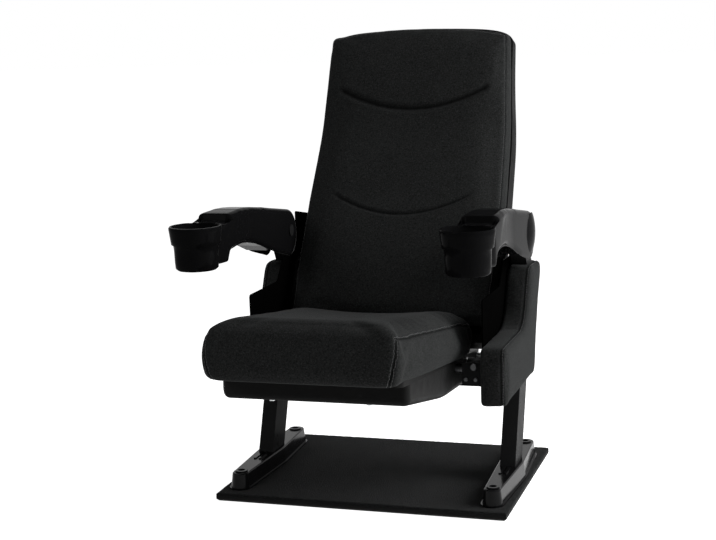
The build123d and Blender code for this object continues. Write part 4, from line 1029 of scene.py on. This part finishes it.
SHELL_EXTRA = np.array([(0, 8), (120, 16), (300, 26), (470, 22), (600, 12), (700, 5), (760, 4)], float)
SHELL_START = -20
SHELL_TOP_LONGER = 14
SHELL_SKIRT_LONGER = 44
SHELL_SKIRT_FORWARD = 30
SHELL_WIDER = 5.0


def deepen(points):
    """Moves the shell's rear further back, its sides slightly out, its top up and its skirt down."""
    along, offset, direction = spine_measure(points, -60, 500)
    extra = look_up(SHELL_EXTRA, along) * smoothstep(SHELL_START - offset, 3, 16)
    longer = (SHELL_TOP_LONGER * smoothstep(along, 560, 715)
              - SHELL_SKIRT_LONGER * (1 - smoothstep(along, -30, 80)))
    wide = SHELL_WIDER * (1 - smoothstep(along, 420, 640)) * smoothstep(np.abs(points[:, 0]), 120, PAD_HALF)
    forward = SHELL_SKIRT_FORWARD * (1 - smoothstep(along, -45, 15))
    return points + np.column_stack([np.sign(points[:, 0]) * wide,
                                     extra * direction[:, 1] + longer * direction[:, 0] - forward,
                                     longer * direction[:, 1] - extra * direction[:, 0]])


class SEAT_OT_rear_shell(bpy.types.Operator):
    """Shape the moulded rear shell, deeper in the middle, and seat its screws in it."""
    bl_idname = "seat.rear_shell"
    bl_label = "Rear shell"

    def execute(self, context):
        for name, node, slot, material in (
                ("rear_shell_moulding", "back_shell", "satin_black", "shell_black"),
                ("rear_shell_screws", "shell_screws", "bright_steel", "bright_steel")):
            piece = sliced_copy(name, node, 2, 318, 1000, 14, finish(material))
            move_to(piece, deepen(places(piece)))
            smooth_skin(piece)
            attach(piece, "back")
            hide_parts(node)
        return {"FINISHED"}


# ---------------------------------------------------------------- carpet
CARPET_PITCH = 3.2
CARPET_TURNED = 7.0  # how far the carpet turns down over the board's edge
CARPET_BEND = 5  # where it starts to turn, inside the edge
CARPET_FALL = 0.62  # its slope past the bend
PILE_SPREAD = 0.22


class SEAT_OT_carpet(bpy.types.Operator):
    """Make the carpet that is glued over the board's top and down its bevel."""
    bl_idname = "seat.carpet"
    bl_label = "Carpet"

    def execute(self, context):
        wide, deep = BOARD_HALF
        xs, ys = (np.linspace(-half - CARPET_TURNED, half + CARPET_TURNED, int(2 * half / CARPET_PITCH))
                  for half in BOARD_HALF)
        x, y = np.meshgrid(xs, ys)
        drop = np.clip(np.maximum(np.abs(x) - wide, np.abs(y) - deep) + CARPET_BEND, 0, 12)
        pile = np.random.default_rng(11).normal(0, PILE_SPREAD, x.shape)
        z = CARPET_TOP + pile - np.where(drop < CARPET_BEND, drop ** 2 / (2 * CARPET_BEND),
                                         drop - CARPET_BEND / 2) * CARPET_FALL
        points = np.stack([np.clip(x, -wide + 0.2, wide - 0.2), np.clip(y, -deep + 0.2, deep - 0.2),
                           np.minimum(z, CARPET_TOP - 0.05)], axis=-1).reshape(-1, 3)
        columns = len(xs)
        faces = [[start, start + 1, start + columns + 1, start + columns]
                 for row in range(len(ys) - 1) for start in range(row * columns, (row + 1) * columns - 1)]
        piece = make_piece("carpet_pile", points, faces, finish("carpet"))
        if piece.data.polygons[len(piece.data.polygons) // 2].normal.z < 0:
            piece.data.flip_normals()
        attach(piece, "stand")
        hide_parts("floor_carpet")
        return {"FINISHED"}


# ---------------------------------------------------------------- hard parts
# Nodes whose finish isn't the one that their slot names.
OWN_FINISHES = {
    "arm_gloss": ("left_pivot_cap", "right_pivot_cap"),
    # Painted shade on the seat board, between the cushion and the pan; the floor board's dark tone is its
    # stain.
    "stained_board": ("floor_board", "seat_board"),
    "painted_steel": ("left_arm_pin", "right_arm_pin", "left_guide_channel", "right_guide_channel"),
    "rubber_black": ("glide_shoes",),
    "dull_steel": ("guide_bolts", "shoe_bolts"),
}


class SEAT_OT_hard_parts(bpy.types.Operator):
    """Give every hard part of the seat its own finish."""
    bl_idname = "seat.hard_parts"
    bl_label = "Finishes of the hard parts"

    def execute(self, context):
        chosen = {part["node"]: part["material_slot"] for part in frame["record"]["subparts"]}
        chosen.update({node: name for name, nodes in OWN_FINISHES.items() for node in nodes})
        for name, node in frame["nodes"].items():
            material = finish(chosen[name])
            if not node.material_slots:
                node.data.materials.append(material)
            for place in node.material_slots:
                place.material = material
        return {"FINISHED"}


# ---------------------------------------------------------------- stage
LIGHTS = (
    # name, place, target, size, spread in degrees
    ("side_light", (2.4, 0.25, 1.4), (0.1, 0, 0.5), (1.6, 2.0), 180),
    ("front_light", (-1.5, -2.3, 1.9), (0.05, 0.35, 0.85), (1.2, 1.2), 140),
    ("top_light", (0.1, 0.2, 2.7), (0, 0, 0.5), (1.6, 1.6), 180),
)
FLOOR_REACH = 40.0
FLOOR_GLOW = 0.94
# The photograph's camera, to the right of the seat and a little above it, rolled slightly.
CAMERA_PLACE = (0.91957, -3.01095, 1.00043)
CAMERA_AROUND, CAMERA_ABOVE, CAMERA_ROLL = 17.97 * DEG, 9.46 * DEG, -1.95 * DEG
CAMERA_LENS = 72.75


def turned_to(place, right, up, back):
    """The matrix of a lamp or camera from its place and its three directions."""
    turn = Matrix([list(row) for row in np.column_stack([right, up, back])]).to_4x4()
    return Matrix.Translation(place) @ turn


def add_light(name, place, target, size, spread, power):
    """One soft rectangular light, whose beam may be narrowed."""
    lamp = bpy.data.lights.new(name, "AREA")
    lamp.shape = "RECTANGLE"
    lamp.size, lamp.size_y = size
    lamp.energy = power
    lamp.spread = spread * DEG
    back = np.array(place) - np.array(target)
    back /= np.linalg.norm(back)
    side = np.cross([0, 0, 1], back)
    side /= np.linalg.norm(side)
    light = add_object(name, lamp)
    light.matrix_world = turned_to(place, side, np.cross(back, side), back)
    return light


def seen_white(tree):
    """1 for what the camera, a reflection or glass sees, and 0 for other light."""
    path = tree.add("ShaderNodeLightPath").outputs
    return tree.math("MAXIMUM", tree.math("MAXIMUM", path["Is Camera Ray"], path["Is Glossy Ray"]),
                     path["Is Transmission Ray"])


class SEAT_OT_stage(bpy.types.Operator):
    """Make the pale floor, the soft lights and the camera."""
    bl_idname = "seat.stage"
    bl_label = "Stage"

    def execute(self, context):
        stage = context.scene.seat_stage
        context.scene.view_settings.view_transform = "Standard"
        world = bpy.data.worlds.new("studio")
        world.use_nodes = True
        context.scene.world = world
        tree = Tree(world.node_tree)
        background = world.node_tree.nodes["Background"].inputs
        join(world.node_tree, background["Strength"], tree.ramp(seen_white(tree), stage.room_level, 1.0))
        join(world.node_tree, background["Color"], (1, 1, 1, 1))
        self.make_floor()
        for name, *values in LIGHTS:
            light = add_light(name, *values, getattr(stage, name))
            light.visible_glossy = name != "side_light"
        self.make_camera()
        return {"FINISHED"}

    @staticmethod
    def make_floor():
        """A wide pale floor that reads white and keeps the seat's shadow."""
        floor = Finish("studio_floor")
        floor.tree.nodes.remove(floor.shader)
        tint = floor.mix(floor.noise(0.8), (0.84, 0.84, 0.84, 1), (0.86, 0.86, 0.86, 1))
        matt = floor.add("ShaderNodeBsdfDiffuse", {"Color": tint}).outputs[0]
        level = floor.math("MULTIPLY", seen_white(floor), FLOOR_GLOW)
        glow = floor.add("ShaderNodeEmission", {"Color": (1, 1, 1, 1), "Strength": level}).outputs[0]
        both = floor.add("ShaderNodeAddShader", {0: matt, 1: glow}).outputs[0]
        join(floor.tree, floor.tree.nodes["Material Output"].inputs["Surface"], both)
        mesh = bpy.data.meshes.new("studio_floor")
        corners = [(x * FLOOR_REACH, y * FLOOR_REACH, 0) for x, y in ((-1, -1), (1, -1), (1, 1), (-1, 1))]
        mesh.from_pydata(corners, [], [(0, 1, 2, 3)])
        mesh.materials.append(floor.material)
        add_object("studio_floor", mesh)

    @staticmethod
    def make_camera():
        """The camera at the photograph's place."""
        around, above, roll = CAMERA_AROUND, CAMERA_ABOVE, CAMERA_ROLL
        back = np.array([math.sin(around) * math.cos(above), -math.cos(around) * math.cos(above),
                         math.sin(above)])
        right = np.array([math.cos(around), math.sin(around), 0])
        up = np.cross(back, right)
        lens = bpy.data.cameras.new("photo_camera")
        lens.sensor_width = 36
        lens.lens = CAMERA_LENS
        lens.clip_end = 100
        camera = add_object("photo_camera", lens)
        camera.matrix_world = turned_to(CAMERA_PLACE, math.cos(roll) * right + math.sin(roll) * up,
                                        -math.sin(roll) * right + math.cos(roll) * up, back)
        bpy.context.scene.camera = camera


# ---------------------------------------------------------------- sidebar and registration
STEPS = ("hard_parts", "armrests", "side_plates", "rear_shell", "carpet", "side_panels", "cushion",
         "back_pad", "stage")


class SEAT_PT_sidebar(bpy.types.Panel):
    """The steps that dress the seat, and their settings."""
    bl_label = "Seat"
    bl_idname = "SEAT_PT_sidebar"
    bl_space_type = "VIEW_3D"
    bl_region_type = "UI"
    bl_category = "Seat"

    def draw(self, context):
        for step in STEPS:
            self.layout.operator(f"seat.{step}")
        for group in (context.scene.seat_soft_goods, context.scene.seat_finishes, context.scene.seat_stage):
            for name in group.__annotations__:
                self.layout.prop(group, name)


CLASSES = (SeatSoftGoods, SeatFinishes, SeatStage, SEAT_OT_hard_parts, SEAT_OT_armrests, SEAT_OT_side_plates,
           SEAT_OT_rear_shell, SEAT_OT_carpet, SEAT_OT_side_panels, SEAT_OT_cushion, SEAT_OT_back_pad,
           SEAT_OT_stage, SEAT_PT_sidebar)


def register():
    for item in CLASSES:
        bpy.utils.register_class(item)
    bpy.types.Scene.seat_soft_goods = PointerProperty(type=SeatSoftGoods)
    bpy.types.Scene.seat_finishes = PointerProperty(type=SeatFinishes)
    bpy.types.Scene.seat_stage = PointerProperty(type=SeatStage)


def unregister():
    del bpy.types.Scene.seat_soft_goods
    del bpy.types.Scene.seat_finishes
    del bpy.types.Scene.seat_stage
    for item in reversed(CLASSES):
        bpy.utils.unregister_class(item)


def main():
    """Dresses the seat step by step."""
    register()
    for step in STEPS:
        getattr(bpy.ops.seat, step)()


if __name__ == "__main__":
    main()
